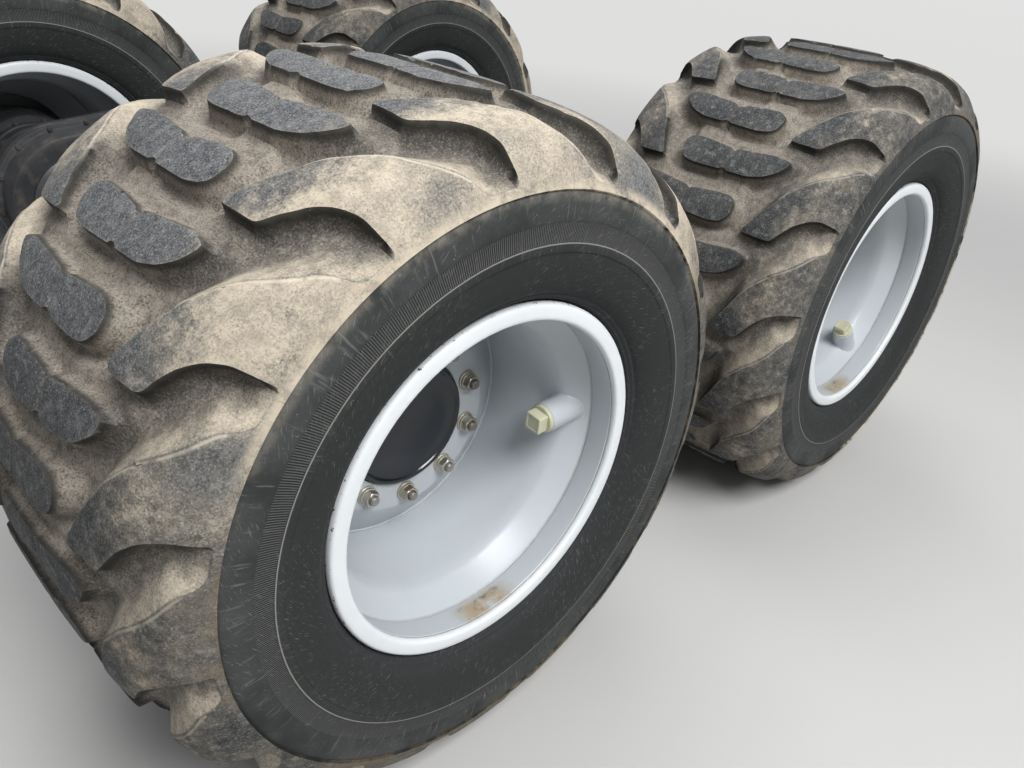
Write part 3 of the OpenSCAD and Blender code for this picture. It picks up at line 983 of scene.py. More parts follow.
    def draw(self, graph: Graph, shader: bpy.types.Node) -> None:
        """Draws the rubber.

        Args:
            graph: Graph of the material.
            shader: Its Principled BSDF.
        """
        at = RubberGraph(graph.tree)
        flank, rib = self.sidewall(at)
        beyond = at.across.between(1.0, 1.02)
        ragged = at.mottle * 0.5 + at.cake * 0.07 + at.soft * 0.5
        seam = at.across.between(0.945, 0.995) * (beyond * -0.82 + 1.0) * at.across.between(1.12, 1.03)
        seam *= ragged.between(0.46, 0.64) * (at.cake * 0.50 + 0.45)
        stretched = at.call("ShaderNodeVectorMath", at.coordinates(), (340.0, 620.0, 340.0), operation="MULTIPLY")
        specks = at.noise(1.0, 2.0, 0.6, stretched)
        colour = at.layers(
            self.tread(at),
            (beyond, flank),
            (seam, at.mix(at.cake.between(0.1, 0.6), self.seam, self.sand[1])),
            (specks.between(0.70, 0.76) * at.soft.between(0.40, 0.56) * 0.6, self.sparkle),
        )
        normal = at.bump(rib, 0.0010, at.bump(at.mottle, 0.0006, at.bump(at.grit, 0.0003)))
        at.dress(shader, colour, at.grit * 0.2 + 0.70, normal)
        shader.inputs["Specular IOR Level"].default_value = self.gloss


@dataclass(frozen=True)
class RimPaint(Finish):
    """Light grey satin paint with dark lines in its creases, which are grime and painted shade, a darker film
    inside the barrel, which is dust and painted shade, chips on the flange's edge and a rusty run at the bottom.

    Marks are the radius and the place along the axis.

    Attributes:
        lines: Place along the axis, width and strength of each dark line in a crease, which is grime and painted
            shade.
        stain_turn: Share of a turn at which the rusty run lies.
        stain_along: Its place along the axis.
    """

    paint: Triple = (0.710, 0.740, 0.758)
    # Darker paint inside the barrel: a film of dust and painted shade in the deep barrel.
    film: Triple = (0.440, 0.470, 0.495)
    haze: Triple = (0.30, 0.31, 0.31)
    # Grime and painted shade in the rim's creases.
    grime_and_shade: Triple = (0.150, 0.105, 0.065)
    rust: Pair = ((0.330, 0.245, 0.140), (0.060, 0.045, 0.032))
    chip: Triple = (0.030, 0.028, 0.026)
    lines: Table = ((0.3225, 0.0016, 0.7), (0.2660, 0.0040, 0.35))
    stain_turn: float = 0.742
    stain_along: float = 0.300

    def draw(self, graph: Graph, shader: bpy.types.Node) -> None:
        """Draws the paint.

        Args:
            graph: Graph of the material.
            shader: Its Principled BSDF.
        """
        radius, along, *_ = graph.marks()
        turn, _ = graph.polar()
        fine, soft, _ = Weathering.place(graph, 90.0)
        ragged, reach = graph.noise(46.0, 5.0, 0.7), abs(along)
        # Dark lines in the creases at the flange's inner corner and below the bead seat: grime and painted shade.
        grime_and_shade = [
            (abs(reach - place).between(width, 0.1 * width) * ragged.between(0.25, 0.5) * share, self.grime_and_shade)
            for place, width, share in self.lines
        ]
        spot = abs(turn - self.stain_turn).between(0.046, 0.012)
        spot *= abs(reach - self.stain_along).between(0.036, 0.012)
        spot *= graph.noise(17.0, 3.0, 0.55).between(0.26, 0.50)
        colour = graph.layers(
            # Inside the barrel the paint turns darker: a film of dust and painted shade.
            graph.mix(reach.between(0.3262, 0.3225), self.paint, self.film),
            (soft.between(0.35, 0.75) * 0.10, self.haze),
            *grime_and_shade,
            (spot * 0.85, graph.mix(ragged.between(0.50, 0.68), *self.rust)),
            (radius.between(0.3585, 0.3605) * fine.between(0.60, 0.66), self.chip),
        )
        graph.dress(shader, colour, fine * 0.16 + 0.28, graph.bump(fine, 0.0002))


@dataclass(frozen=True)
class Coated(Finish):
    """Painted or bare metal and plastic with fine grain, broad shade and dust.

    Attributes:
        base: Colour of the clean surface.
        shade: Colour it drifts to.
        dusted: Colour of the dust.
        dust_share: Share of the surface that dust covers.
        metal: Metallic value.
        gloss: Lowest roughness.
        grain: Depth of the grain in metres.
        grain_scale: Grains in a metre.
    """

    base: Triple
    shade: Triple
    dusted: Triple
    dust_share: float
    metal: float
    gloss: float
    grain: float
    grain_scale: float = 180.0

    def draw(self, graph: Graph, shader: bpy.types.Node) -> None:
        """Draws the coat.

        Args:
            graph: Graph of the material.
            shader: Its Principled BSDF.
        """
        fine, broad, dusty = Weathering.place(graph, self.grain_scale, self.dust_share)
        colour = graph.mix(dusty, graph.mix(broad.between(0.3, 0.7), self.base, self.shade), self.dusted)
        shader.inputs["Metallic"].default_value = self.metal
        graph.dress(shader, colour, fine * 0.18 + dusty * 0.5 + self.gloss, graph.bump(fine, self.grain))


BLACK_DUST = (0.16, 0.13, 0.10)


class Coat(Enum):
    """The finishes of the whole assembly."""

    RUBBER = TyreRubber("tyre_rubber")
    RIM = RimPaint("rim_paint")
    CAP = Coated(
        "hub_gloss_black", (0.004, 0.006, 0.010), (0.006, 0.009, 0.014), (0.12, 0.11, 0.10), 0.05, 0.0, 0.05, 4e-5
    )
    CAST = Coated(
        "black_casting", (0.016, 0.017, 0.019), (0.030, 0.031, 0.033), BLACK_DUST, 0.5, 0.0, 0.42, 0.0009
    )
    TURNED = Coated(
        "black_machined", (0.020, 0.021, 0.023), (0.032, 0.033, 0.035), BLACK_DUST, 0.35, 0.0, 0.30, 0.0002
    )
    STEEL = Coated(
        "bare_steel", (0.36, 0.35, 0.33), (0.24, 0.22, 0.19), (0.16, 0.10, 0.06), 0.45, 0.85, 0.40, 0.0002
    )
    BOLT = Coated(
        "painted_bolts", (0.022, 0.023, 0.025), (0.040, 0.041, 0.043), (0.18, 0.14, 0.10), 0.5, 0.0, 0.34, 0.0002
    )
    PLATED = Coated(
        "plated_steel", (0.58, 0.55, 0.47), (0.42, 0.39, 0.32), (0.16, 0.12, 0.08), 0.30, 0.9, 0.28, 0.0001
    )
    PLUG = Coated(
        "plug_plastic", (0.53, 0.53, 0.38), (0.46, 0.45, 0.31), (0.30, 0.26, 0.18), 0.2, 0.0, 0.38, 0.0001
    )


MADE: dict[Coat, bpy.types.Material] = {}


def coat(which: Coat) -> bpy.types.Material:
    """Gives the material of a finish, made once.

    Args:
        which: Finish to give.

    Returns:
        Its material.
    """
    if which not in MADE:
        MADE[which] = which.value.make()
    return MADE[which]


# Wheel


class Corner(Enum):
    """The four wheels: end, side, then degrees up to the first lug, the plug and the part with the most dust, which
    is also painted lightest.
    """

    FRONT_LEFT = (1, 1, 9.3, 177.5, 84.0)
    REAR_LEFT = (-1, 1, 1.5, -127.0, 205.0)
    FRONT_RIGHT = (1, -1, 9.3, 177.5, 70.0)
    REAR_RIGHT = (-1, -1, 1.5, -127.0, 150.0)

    @property
    def word(self) -> str:
        """Name in lower case."""
        return self.name.lower()

    @property
    def body(self) -> str:
        """Body of the wheel."""
        return "wheel_" + self.word

    @property
    def first_lug(self) -> float:
        """Degrees up to the first lug."""
        return self.value[2]

    @property
    def plug_at(self) -> float:
        """Degrees up to the plug."""
        return self.value[3]

    @property
    def dustiest(self) -> float:
        """Degrees up to the part with the most dust, which is also painted lightest."""
        return self.value[4]

    @property
    def axis(self) -> Axis:
        """Axis from the tyre's middle plane outwards."""
        end, side = self.value[:2]
        return cross_axis(end * WHEELBASE / 2, AXLE_H, side, side * TRACK / 2)


@dataclass(frozen=True)
class Outline:
    """A raised shape on the unrolled tread.

    Attributes:
        corners: Degrees behind the lug's leading corner, metres from the tread's middle, steepness.
        ease: Reach of the rounded corners in metres.
        rise: Height as a share of the groove's depth.
        fillet: Rounding at its foot.
        is_top: Whether its face is a running face.
    """

    corners: Table
    ease: float
    rise: float
    fillet: float
    is_top: bool = True


LUG = Outline(
    (
        (0.0, 0.160, 3.4), (0.0, 0.244, 3.4), (2.4, 0.264, 3.6), (4.8, 0.285, 3.8), (7.0, 0.315, 3.8),
        (8.2, 0.345, 3.8), (8.8, 0.432, 3.8), (24.8, 0.432, 0.8), (24.3, 0.396, 0.8), (22.8, 0.372, 0.8),
        (20.4, 0.349, 0.8), (18.2, 0.324, 0.8), (15.6, 0.284, 0.85), (11.4, 0.237, 1.2), (7.2, 0.208, 2.0),
        (4.2, 0.188, 2.6),
    ),
    0.010,
    1.0,
    0.020,
)
SHORT_BLOCK = Outline(
    (
        (0.2, -0.0305, 3.4), (0.0, 0.060, 3.2), (0.5, 0.094, 3.0), (2.4, 0.114, 3.0), (5.0, 0.114, 2.8),
        (6.4, 0.092, 2.4), (6.3, 0.040, 2.4), (5.6, -0.0305, 3.4),
    ),
    0.012,
    1.0,
    0.016,
)
LONG_BLOCK = Outline(
    (
        (0.2, -0.0365, 3.4), (0.3, -0.110, 3.2), (1.4, -0.152, 3.0), (3.4, -0.184, 3.0), (6.1, -0.203, 2.6),
        (6.8, -0.160, 2.4), (5.7, -0.0365, 3.4),
    ),
    0.012,
    1.0,
    0.016,
)
NOTCH = Outline(
    ((0.5, -0.056, 5.0), (0.5, -0.014, 5.0), (5.5, -0.014, 5.0), (5.5, -0.056, 5.0)),
    0.003,
    0.86,
    0.002,
    False,
)
TIE = Outline(
    (
        (-4.6, 0.222, 0.8), (-1.5, 0.232, 0.8), (0.6, 0.235, 0.8), (0.6, 0.165, 1.3), (-0.8, 0.150, 1.3),
        (-2.0, 0.128, 1.3), (-2.4, 0.090, 1.3), (-2.4, -0.020, 1.3), (0.6, -0.030, 1.3), (0.6, -0.095, 1.3),
        (-1.6, -0.110, 1.1), (-4.6, -0.100, 1.1),
    ),
    0.016,
    0.42,
    0.014,
    False,
)


@dataclass(frozen=True)
class Tyre:
    """A wide lugged flotation tyre: a tread ring of lugs and blocks on a turned casing.

    Attributes:
        pitches: Lugs on each side.
        cells: Grid steps round one pitch.
        rows: Grid steps from the tread's middle to the end of the grooves.
        groove: Depth of the grooves.
        groove_end: Place of their outer ends, along the envelope from the middle.
        ramp: Length of the slope at their outer ends.
        wear: Depth of the wear along the edges and over the tops.
        chip: Depth of the deepest chips in the edges.
        outer_r: Radius over the lugs.
        envelope: Half of the worn tread's outline: radius and distance along the axis.
        casing: Outer side from the bead up: radius, distance along and reach of the corner, in millimetres.
        crown: Outside of the casing under the tread, in millimetres.
        cavity: Inside of the casing, in millimetres.
        hidden: Inner side of the tread ring, inside the casing, in millimetres.
        segments: Steps round the casing.
    """

    pitches: int = 16
    cells: int = 34
    rows: int = 52
    groove: float = 0.042
    groove_end: float = 0.412
    ramp: float = 0.050
    wear: float = 0.0014
    chip: float = 0.004
    outer_r: float = 0.675
    envelope: Line = (
        (0.5623, 0.3741), (0.5901, 0.3649), (0.6121, 0.3521), (0.6330, 0.3349), (0.6481, 0.3101),
        (0.6559, 0.2899), (0.6640, 0.2501), (0.6709, 0.1901), (0.6741, 0.1001), (0.6750, 0.0450),
    )
    casing: Table = (
        (336.5, 275, 1), (336.5, 309.5, 3), (344.5, 316.5, 4), (358, 317.5, 2), (362.5, 320, 2),
        (366.5, 326, 2), (368.5, 332, 1), (370.5, 334.5, 1), (373, 334.5, 1), (375, 338.5, 1),
        (378, 340.5, 1), (381, 340.5, 1), (384, 346, 2), (392, 353.5, 4), (406, 360.5, 8),
        (429.9, 368, 12), (461, 373, 4), (462.5, 374.4, 1), (475.5, 374.9, 1), (478.5, 374.9, 1),
        (480, 373.4, 1), (510.5, 373.4, 1), (512.5, 374.7, 1), (531, 374.6, 8), (552, 373, 4),
        (558.5, 370.6, 2), (566, 364, 4), (584, 340, 10),
    )
    crown: Line = ((606, 290), (622, 200), (628, 60))
    cavity: Line = (
        (600, 60), (598, 200), (570, 300), (500, 350), (430, 345), (380, 318),
        (345, 290),
    )
    hidden: Line = ((559, 369), (565, 330), (605, 150))
    segments: int = 128

    def profile(self) -> Array:
        """Envelope of the tread from side to side, evenly spaced by length.

        Returns:
            Rows of radius and distance along the axis.
        """
        half = np.array(self.envelope)
        return smooth_line(np.concatenate([half * (1, -1), half[::-1]]), 1201)

    def stations(self) -> Array:
        """Places of the grid's rows along the envelope, from side to side.

        Two rows next to the middle are moved and one is added, so that the blocks' inner ends and the
        foot of their walls get rows of their own.
        """
        half = self.envelope_length() / 2
        near = np.linspace(0, self.groove_end, self.rows + 1)[1:]
        near[np.abs(near - 0.0317).argmin()], near[np.abs(near - 0.0396).argmin()] = 0.0303, 0.0367
        near = np.sort(np.append(near, 0.0335))
        far = np.linspace(self.groove_end, half, 3)[1:]
        side = np.concatenate([near, far])
        return np.concatenate([-side[::-1], [0.0], side])

    def envelope_length(self) -> float:
        """Length of the whole envelope."""
        return float(np.linalg.norm(np.diff(self.profile(), axis=0), axis=1).sum())

    def floor(self, over: Array) -> Array:
        """Depth of the grooves' floor, which runs out on a ramp at both ends.

        Args:
            over: Metres across the tread.

        Returns:
            Depths in metres.
        """
        return self.groove * np.clip((self.groove_end - np.abs(over)) / self.ramp, 0, 1)

    def shapes(self, outline: Outline) -> list[Array]:
        """Lays an outline out on the unrolled tread, on both halves and over three pitches.

        The second half is the first turned by half a pitch and mirrored.

        Args:
            outline: Outline to lay out.

        Returns:
            Closed lines of metres round, metres across and steepness.
        """
        table = np.array(outline.corners)
        metres = self.outer_r * math.radians(1)
        pitch = 360 / self.pitches
        laid = []
        for half, shift in ((1, 0.0), (-1, pitch / 2)):
            for turns in range(-2, 3):
                corners = table * (1, half, 1) + (shift + turns * pitch, 0, 0)
                laid.append(eased(corners * (metres, 1, 1), outline.ease, 5))
        return laid

    @staticmethod
    def nearest(places: Array, line: Array) -> tuple[Array, Array, Array]:
        """Signed distance to a closed line, negative inside it, with the nearest point.

        The sign comes from the number of sides that a ray from the place crosses.

        Args:
            places: Rows of metres round and across.
            line: Closed line with its steepness in the third column.

        Returns:
            Distances, nearest points and the steepness there.
        """
        start, end = line[None], np.roll(line, -1, 0)[None]
        side = end[..., :2] - start[..., :2]
        away = places[:, None] - start[..., :2]
        share = np.clip((away * side).sum(-1) / np.maximum((side**2).sum(-1), 1e-12), 0, 1)
        gap = away - share[..., None] * side
        length = np.sqrt((gap**2).sum(-1))
        best = length.argmin(1)
        pick = np.arange(len(places))
        spans = (start[..., 1] > places[:, None, 1]) != (end[..., 1] > places[:, None, 1])
        rise = np.where(np.abs(side[..., 1]) < 1e-12, 1e-12, side[..., 1])
        crossing = start[..., 0] + (places[:, None, 1] - start[..., 1]) * side[..., 0] / rise
        inside = (spans & (crossing > places[:, None, 0])).sum(1) % 2 == 1
        distance = np.where(inside, -1, 1) * length[pick, best]
        steep = start[0, best, 2] + share[pick, best] * (end[0, best, 2] - start[0, best, 2])
        return distance, places - gap[pick, best], steep

    @cached_property
    def relief(self) -> tuple[Array, Array, Array, Array]:
        """Relief of one pitch, as rows across the tread and columns round it.

        Height over the groove's floor is the smooth maximum, over all outlines, of their rise less
        steepness times the distance outside them. Grid points next to an edge are moved onto it. The
        floor is then evened out a little.

        Returns:
            Radians round, metres across, metres below the envelope, and marks: nearness of a steep
            wall's foot, depth share, place across and nearness of a top's edge.
        """
        pitch = math.tau / self.pitches
        across = self.stations()
        cell = pitch * self.outer_r / self.cells
        round_, over = np.meshgrid(np.arange(self.cells) * cell, across)
        places = np.stack([round_.ravel(), over.ravel()], 1)
        inner = np.abs(places[:, 1]) < self.groove_end - 0.001
        reach = np.repeat(0.50 * np.minimum(cell, np.gradient(across)), self.cells)
        held = np.zeros(len(places), bool)
        for line in [line for outline in (LUG, SHORT_BLOCK, LONG_BLOCK) for line in self.shapes(outline)]:
            distance, spot, _ = self.nearest(places, line)
            near = inner & ~held & (np.abs(distance) < reach) & (np.abs(spot[:, 1]) < self.groove_end)
            places[near] = spot[near]
            held |= near
        depth = self.floor(places[:, 1])
        height, gap, wall = np.zeros(len(places)), np.full(len(places), 1.0), np.ones(len(places))
        for outline in (LUG, SHORT_BLOCK, LONG_BLOCK, NOTCH, TIE):
            for line in self.shapes(outline):
                distance, _, steep = self.nearest(places, line)
                rise = outline.rise * depth - steep * np.maximum(distance, 0)
                meet = np.maximum(outline.fillet - np.abs(rise - height), 0) ** 2 / (4 * outline.fillet)
                height = np.maximum(rise, height) + meet
                if outline.is_top:
                    wall = np.where(np.abs(distance) < np.abs(gap), steep, wall)
                    gap = np.where(np.abs(distance) < np.abs(gap), distance, gap)
        shape = (len(across), self.cells)
        x, y, floor = (column.reshape(shape) for column in (places[:, 0], places[:, 1], depth))
        sunk = floor - np.minimum(height.reshape(shape), floor)
        padded = np.pad(np.pad(sunk, ((0, 0), (1, 1)), "wrap"), ((1, 1), (0, 0)), "edge")
        mean = (padded[:-2, 1:-1] + padded[2:, 1:-1] + padded[1:-1, :-2] + padded[1:-1, 2:]) / 4
        loose = ~held.reshape(shape)
        sunk = sunk + 0.5 * loose * np.clip(sunk / self.groove / 0.4 - 0.9, 0, 1) * (mean - sunk)
        edge = (np.exp(-((gap / 0.007) ** 2)) * (depth > 0.5 * self.groove)).reshape(shape)
        share = sunk / np.maximum(self.floor(y), 0.55 * self.groove)
        # Nearness of a steep wall's foot, which sets the painted shade on the floors.
        foot = np.clip(wall - 1.2, 0, 1) * np.exp(-np.maximum(gap - depth / wall, 0) / 0.026)
        marks = np.stack([foot.reshape(shape), share, np.abs(y) / (self.envelope_length() / 2), edge], -1)
        return x / self.outer_r, y, sunk, marks

    @cached_property
    def ring(self) -> tuple[Array, ...]:
        """The whole tread: the pitch repeated, worn along its edges, and the hidden inner side.

        A point lies on the envelope, moved along its normal by the relief. Each edge is lowered by
        the wear, and by chips where a random field is high.

        Returns:
            Radii, radians round and distances along the axis as rows and columns, depth, marks, and
            the envelope's normal outwards and along the axis.
        """
        angle, over, sunk, marks = self.relief
        columns = self.cells * self.pitches
        angle = np.concatenate([angle + k * math.tau / self.pitches for k in range(self.pitches)], 1)
        over, sunk = np.tile(over, (1, self.pitches)), np.tile(sunk, (1, self.pitches))
        marks = np.tile(marks, (1, self.pitches, 1))
        broad = drift(len(over), columns, 10, 64, 3)
        small = drift(len(over), columns, 40, 260, 7)
        top = (sunk < 1e-5) * np.clip((self.groove_end - np.abs(over)) / 0.05, 0, 1)
        bite = np.clip((small - 0.70) / 0.2, 0, 1) * np.clip((broad - 0.35) / 0.3, 0, 1)
        sunk = sunk + top * self.wear * (0.8 * broad + marks[..., 3] * (0.6 + 0.8 * small))
        sunk = sunk + top * marks[..., 3] * self.chip * bite
        flat = self.profile()
        length = np.linspace(-1, 1, len(flat)) * self.envelope_length() / 2
        slope = np.gradient(flat, length, axis=0)
        radius = np.interp(over, length, flat[:, 0]) - sunk * np.interp(over, length, slope[:, 1])
        along = np.interp(over, length, flat[:, 1]) + sunk * np.interp(over, length, slope[:, 0])
        inside = np.array(self.hidden) * MM
        inside = np.concatenate([inside, inside[::-1] * (1, -1)])
        even = np.arange(columns) * math.tau / columns
        row = np.ones((1, columns))
        still = np.zeros((len(inside), columns))
        return (
            np.concatenate([radius, inside[:, :1] * row]),
            np.concatenate([angle, np.tile(even, (len(inside), 1))]),
            np.concatenate([along, inside[:, 1:] * row]),
            np.concatenate([sunk, still]),
            np.concatenate([marks, np.tile([0, 0, 1.0, 0], (len(inside), columns, 1))]),
            np.concatenate([np.interp(over, length, slope[:, 1]), still]),
            np.concatenate([-np.interp(over, length, slope[:, 0]), still]),
        )

    @staticmethod
    def caked(corner: Corner, angle: Array) -> Array:
        """Share of dust on the tyre and of painted light: a smooth step of the cosine of the angle from the part
        with the most dust. Where it is low, the rubber is painted darker as shade.

        Args:
            corner: Wheel that the tyre belongs to.
            angle: Angles in radians.

        Returns:
            Shares from 0 to 1.
        """
        near = np.clip((np.cos(angle - math.radians(corner.dustiest)) - 0.30) / 0.52, 0, 1)
        return 0.08 + 0.92 * near**2 * (3 - 2 * near)

    def tread(self, corner: Corner) -> Patch:
        """Lays the tread ring round the wheel's axis, in triangles along its edges.

        Args:
            corner: Wheel that the ring belongs to.

        Returns:
            The closed ring.
        """
        radius, angle, along, sunk, marks, out, aside = self.ring
        columns = self.cells * self.pitches
        turn = np.tile(np.arange(columns) / columns, len(radius))
        angle = angle + math.radians(corner.first_lug)
        points = corner.axis.at(radius, angle, along).reshape(-1, 3)
        facing = (corner.axis.at(out, angle, aside) - np.array(corner.axis.centre)).reshape(-1, 3)
        marks, foot = marks.copy(), marks[..., 0].ravel()
        # Share of dust, which also sets where the rubber is painted darker as shade.
        marks[..., 0] = self.caked(corner, angle)
        faces = split_quads(grid_faces(len(radius), columns, True, True), sunk.ravel())
        return Patch(points, [faces], turn, foot, marks.reshape(-1, 4), facing)

    def build(self, corner: Corner) -> None:
        """Makes one tyre.

        Args:
            corner: Wheel that the tyre belongs to.
        """
        outer = np.concatenate([rounded(self.casing, 1), np.array(self.crown) * MM])
        side = np.array(self.cavity)[::-1] * MM
        ring = np.concatenate([outer, (outer * (1, -1))[::-1], side * (1, -1), side[::-1]])
        casing = lathe(corner.axis, ring, self.segments)
        casing.level = casing.marks[:, 0].copy()
        # Share of dust, which also sets where the rubber is painted darker as shade.
        cake = self.caked(corner, casing.turn * math.tau)
        casing.turn = (casing.turn - corner.first_lug / 360) % 1.0
        down = 1.0 + (0.5623 - casing.marks[:, 0]) / 0.2
        casing.marks = np.stack([cake, 0 * down, np.maximum(down, 1.03), 0 * down], 1)
        piece = Piece("carcass_and_tread_" + corner.word, corner.body, [coat(Coat.RUBBER)])
        piece.add(self.tread(corner))
        piece.add(casing)
        thing = piece.build(("tyre_" + corner.word,), 36.0, 0.6)


@dataclass(frozen=True)
class Rim:
    """A deep one-piece rim: flange rings, bead seats, barrel, conical disc and its weld.

    Profiles are in millimetres: radius, distance outwards from the middle plane, reach of the corner.
    """

    inside: Table = (
        (361.9, 330.5, 3), (359.5, 335.8, 3), (353.5, 337.5, 4), (335, 337.5, 4), (330, 334.8, 3),
        (328.4, 328, 2), (329.4, 324.2, 0.6), (329.4, 321.4, 0.6), (328, 320, 0.8), (330.5, 269.5, 1.5),
        (332.4, 267.6, 0.8), (331.4, 265.6, 0.8), (326.5, 260.5, 5), (291, 219, 7), (280.5, 186, 12),
    )
    outside: Line = (
        (289, 181.5), (299, 209.5), (315, 229.5), (336.5, 257.5), (336.5, 309.5), (344.5, 317.5),
        (357.9, 317.5), (361.9, 322),
    )
    disc: Table = (
        (140.5, 35, 1), (206, 35, 4), (281, -15, 1), (281, 5, 1), (202, 55, 5), (140.5, 55, 1.5),
    )
    weld_r: float = 0.2775
    weld_along: float = 0.0085
    weld_size: float = 0.0032
    weld_ripples: int = 60
    segments: int = 120

    def weld(self, axis: Axis) -> Patch:
        """Weld bead: a small circle carried round, whose radius swells with each ripple of the weld.

        Args:
            axis: Axis of the wheel.

        Returns:
            The closed ring.
        """
        around, sides = 4 * self.weld_ripples, 6
        turn, spin = np.meshgrid(np.arange(around) / around, np.arange(sides) / sides)
        size = self.weld_size * (1 + 0.10 * np.sin(turn * math.tau * self.weld_ripples))
        radius = self.weld_r + size * np.cos(spin * math.tau)
        along = self.weld_along + size * np.sin(spin * math.tau)
        points = axis.at(radius, turn * math.tau, along).reshape(-1, 3)
        marks = np.column_stack([radius.ravel(), along.ravel(), np.zeros((radius.size, 2))])
        return Patch(points, [grid_faces(sides, around, True, True)], turn.ravel(), along.ravel(), marks)

    def inner_radius(self, along: Array) -> Array:
        """Radius of the inner surface at places along the axis.

        Args:
            along: Distances from the middle plane.

        Returns:
            Radii in metres.
        """
        table = np.array(self.inside)[::-1] * MM
        return np.interp(np.abs(along), table[:, 1], table[:, 0])

    def build(self, corner: Corner) -> None:
        """Makes one rim.

        Args:
            corner: Wheel that the rim belongs to.
        """
        inside, outside = rounded(self.inside), np.array(self.outside) * MM
        loop = np.concatenate([inside, (inside * (1, -1))[::-1], (outside * (1, -1))[::-1], outside])
        barrel = lathe(corner.axis, loop, self.segments)
        disc = lathe(corner.axis, rounded(self.disc, loop=True), self.segments)
        piece = Piece("painted_rim_" + corner.word, corner.body, [coat(Coat.RIM)])
        for patch in (barrel, disc, self.weld(corner.axis)):
            piece.add(patch)
        piece.build(("rim_" + corner.word,))


@dataclass(frozen=True)
class WheelNuts:
    """Studs with washers and chamfered nuts.

    Attributes:
        count: Number of studs.
        circle: Radius of their circle.
        seat: Distance of the disc's face from the middle plane.
    """

    count: int = 10
    circle: float = 0.1675
    seat: float = 0.055
    washer_r: float = 0.022
    washer_t: float = 0.005
    flats: float = 0.032
    nut_h: float = 0.020
    stud_r: float = 0.011
    stud_end: float = 0.033
    thread: float = 0.0036

    def nut(self) -> tuple[Array, list[Array]]:
        """One washer and nut: rings whose radius is the smaller of the hexagon's and a cone's.

        The hexagon's radius is half the flats over the cosine of the angle from the nearest flat.

        Returns:
            Points about the stud's own axis, and faces.
        """
        angle = np.arange(24) * math.tau / 24
        flat = (angle + math.pi / 6) % (math.pi / 3) - math.pi / 6
        hexagon = self.flats / 2 / np.cos(flat)
        base, top = self.washer_t, self.washer_t + self.nut_h
        washer = [
            (-0.002, 0.014), (-0.002, self.washer_r), (base - 0.0008, self.washer_r), (base, self.washer_r - 0.001),
            (base, 0.0195), (base + 0.003, 0.0185), (base + 0.003, 0.0183),
        ]
        cones = [
            (base + 0.004, 0.0175), (base + 0.006, 0.0190), (top - 0.003, 0.0190), (top - 0.0015, 0.0175),
            (top, 0.0155), (top, 0.0120),
        ]
        rings = [np.full(24, r) for _, r in washer] + [np.minimum(hexagon, r) for _, r in cones]
        radius, height = np.array(rings), np.array([h for h, _ in washer + cones])[:, None]
        points = np.stack([radius * np.cos(angle), radius * np.sin(angle), height + 0 * radius], -1)
        return points.reshape(-1, 3), [grid_faces(len(rings), 24, True, True)]

    def stud(self) -> tuple[Array, list[Array]]:
        """One stud: rings whose radius goes up and down with the thread, closed at both ends.

        Returns:
            Points about the stud's own axis, and faces.
        """
        height = np.arange(0.0, self.stud_end - 0.0015, self.thread / 2)
        ridge = self.stud_r - 0.0006 * (np.arange(len(height)) % 2)
        height = np.concatenate([[-0.004], height, [self.stud_end]])
        ridge = np.concatenate([[self.stud_r], ridge, [self.stud_r - 0.0022]])
        axis = Axis((0, 0, 0), (1, 0, 0), (0, 1, 0), (0, 0, 1))
        profile = np.stack([ridge, height], 1)
        profile = np.concatenate([[[0, height[0]]], profile, [[0, height[-1]]]])
        shell = lathe(axis, profile, 12, False)
        return shell.points, shell.faces

    def build(self, corner: Corner) -> None:
        """Makes the studs and nuts of one wheel.

        Args:
            corner: Wheel that they belong to.
        """
        piece = Piece("studs_and_nuts_" + corner.word, corner.body, [coat(Coat.PLATED), coat(Coat.STEEL)])
        for slot, (points, faces) in enumerate((self.nut(), self.stud())):
            for k in range(self.count):
                place, spin = (k + 0.5) * math.tau / self.count, 0.7 * k * k
                x = self.circle + points[:, 0] * math.cos(spin) - points[:, 1] * math.sin(spin)
                y = points[:, 0] * math.sin(spin) + points[:, 1] * math.cos(spin)
                where = corner.axis.at(np.hypot(x, y), np.arctan2(y, x) + place, self.seat + points[:, 2])
                piece.add(Patch.plain(where, faces), slot)
        piece.build(("wheel_nuts_" + corner.word,), 28.0)


@dataclass(frozen=True)
class HubCap:
    """The dished black cover in the disc's centre hole."""

    profile: Table = (
        (0, 39, 0), (138, 39, 0.5), (138, 60, 2.5), (135, 66, 3), (129, 66, 3), (124.5, 60, 3),
        (119, 58.5, 4), (98.5, 56, 14), (30, 54.5, 12), (0, 54.5, 0),
    )
    segments: int = 72

    def build(self, corner: Corner) -> None:
        """Makes one cover.

        Args:
            corner: Wheel that the cover belongs to.
        """
        piece = Piece("dished_cap_" + corner.word, corner.body, [coat(Coat.CAP)])
        piece.add(lathe(corner.axis, rounded(self.profile), self.segments, False))
        piece.build(("hub_cover_" + corner.word,))


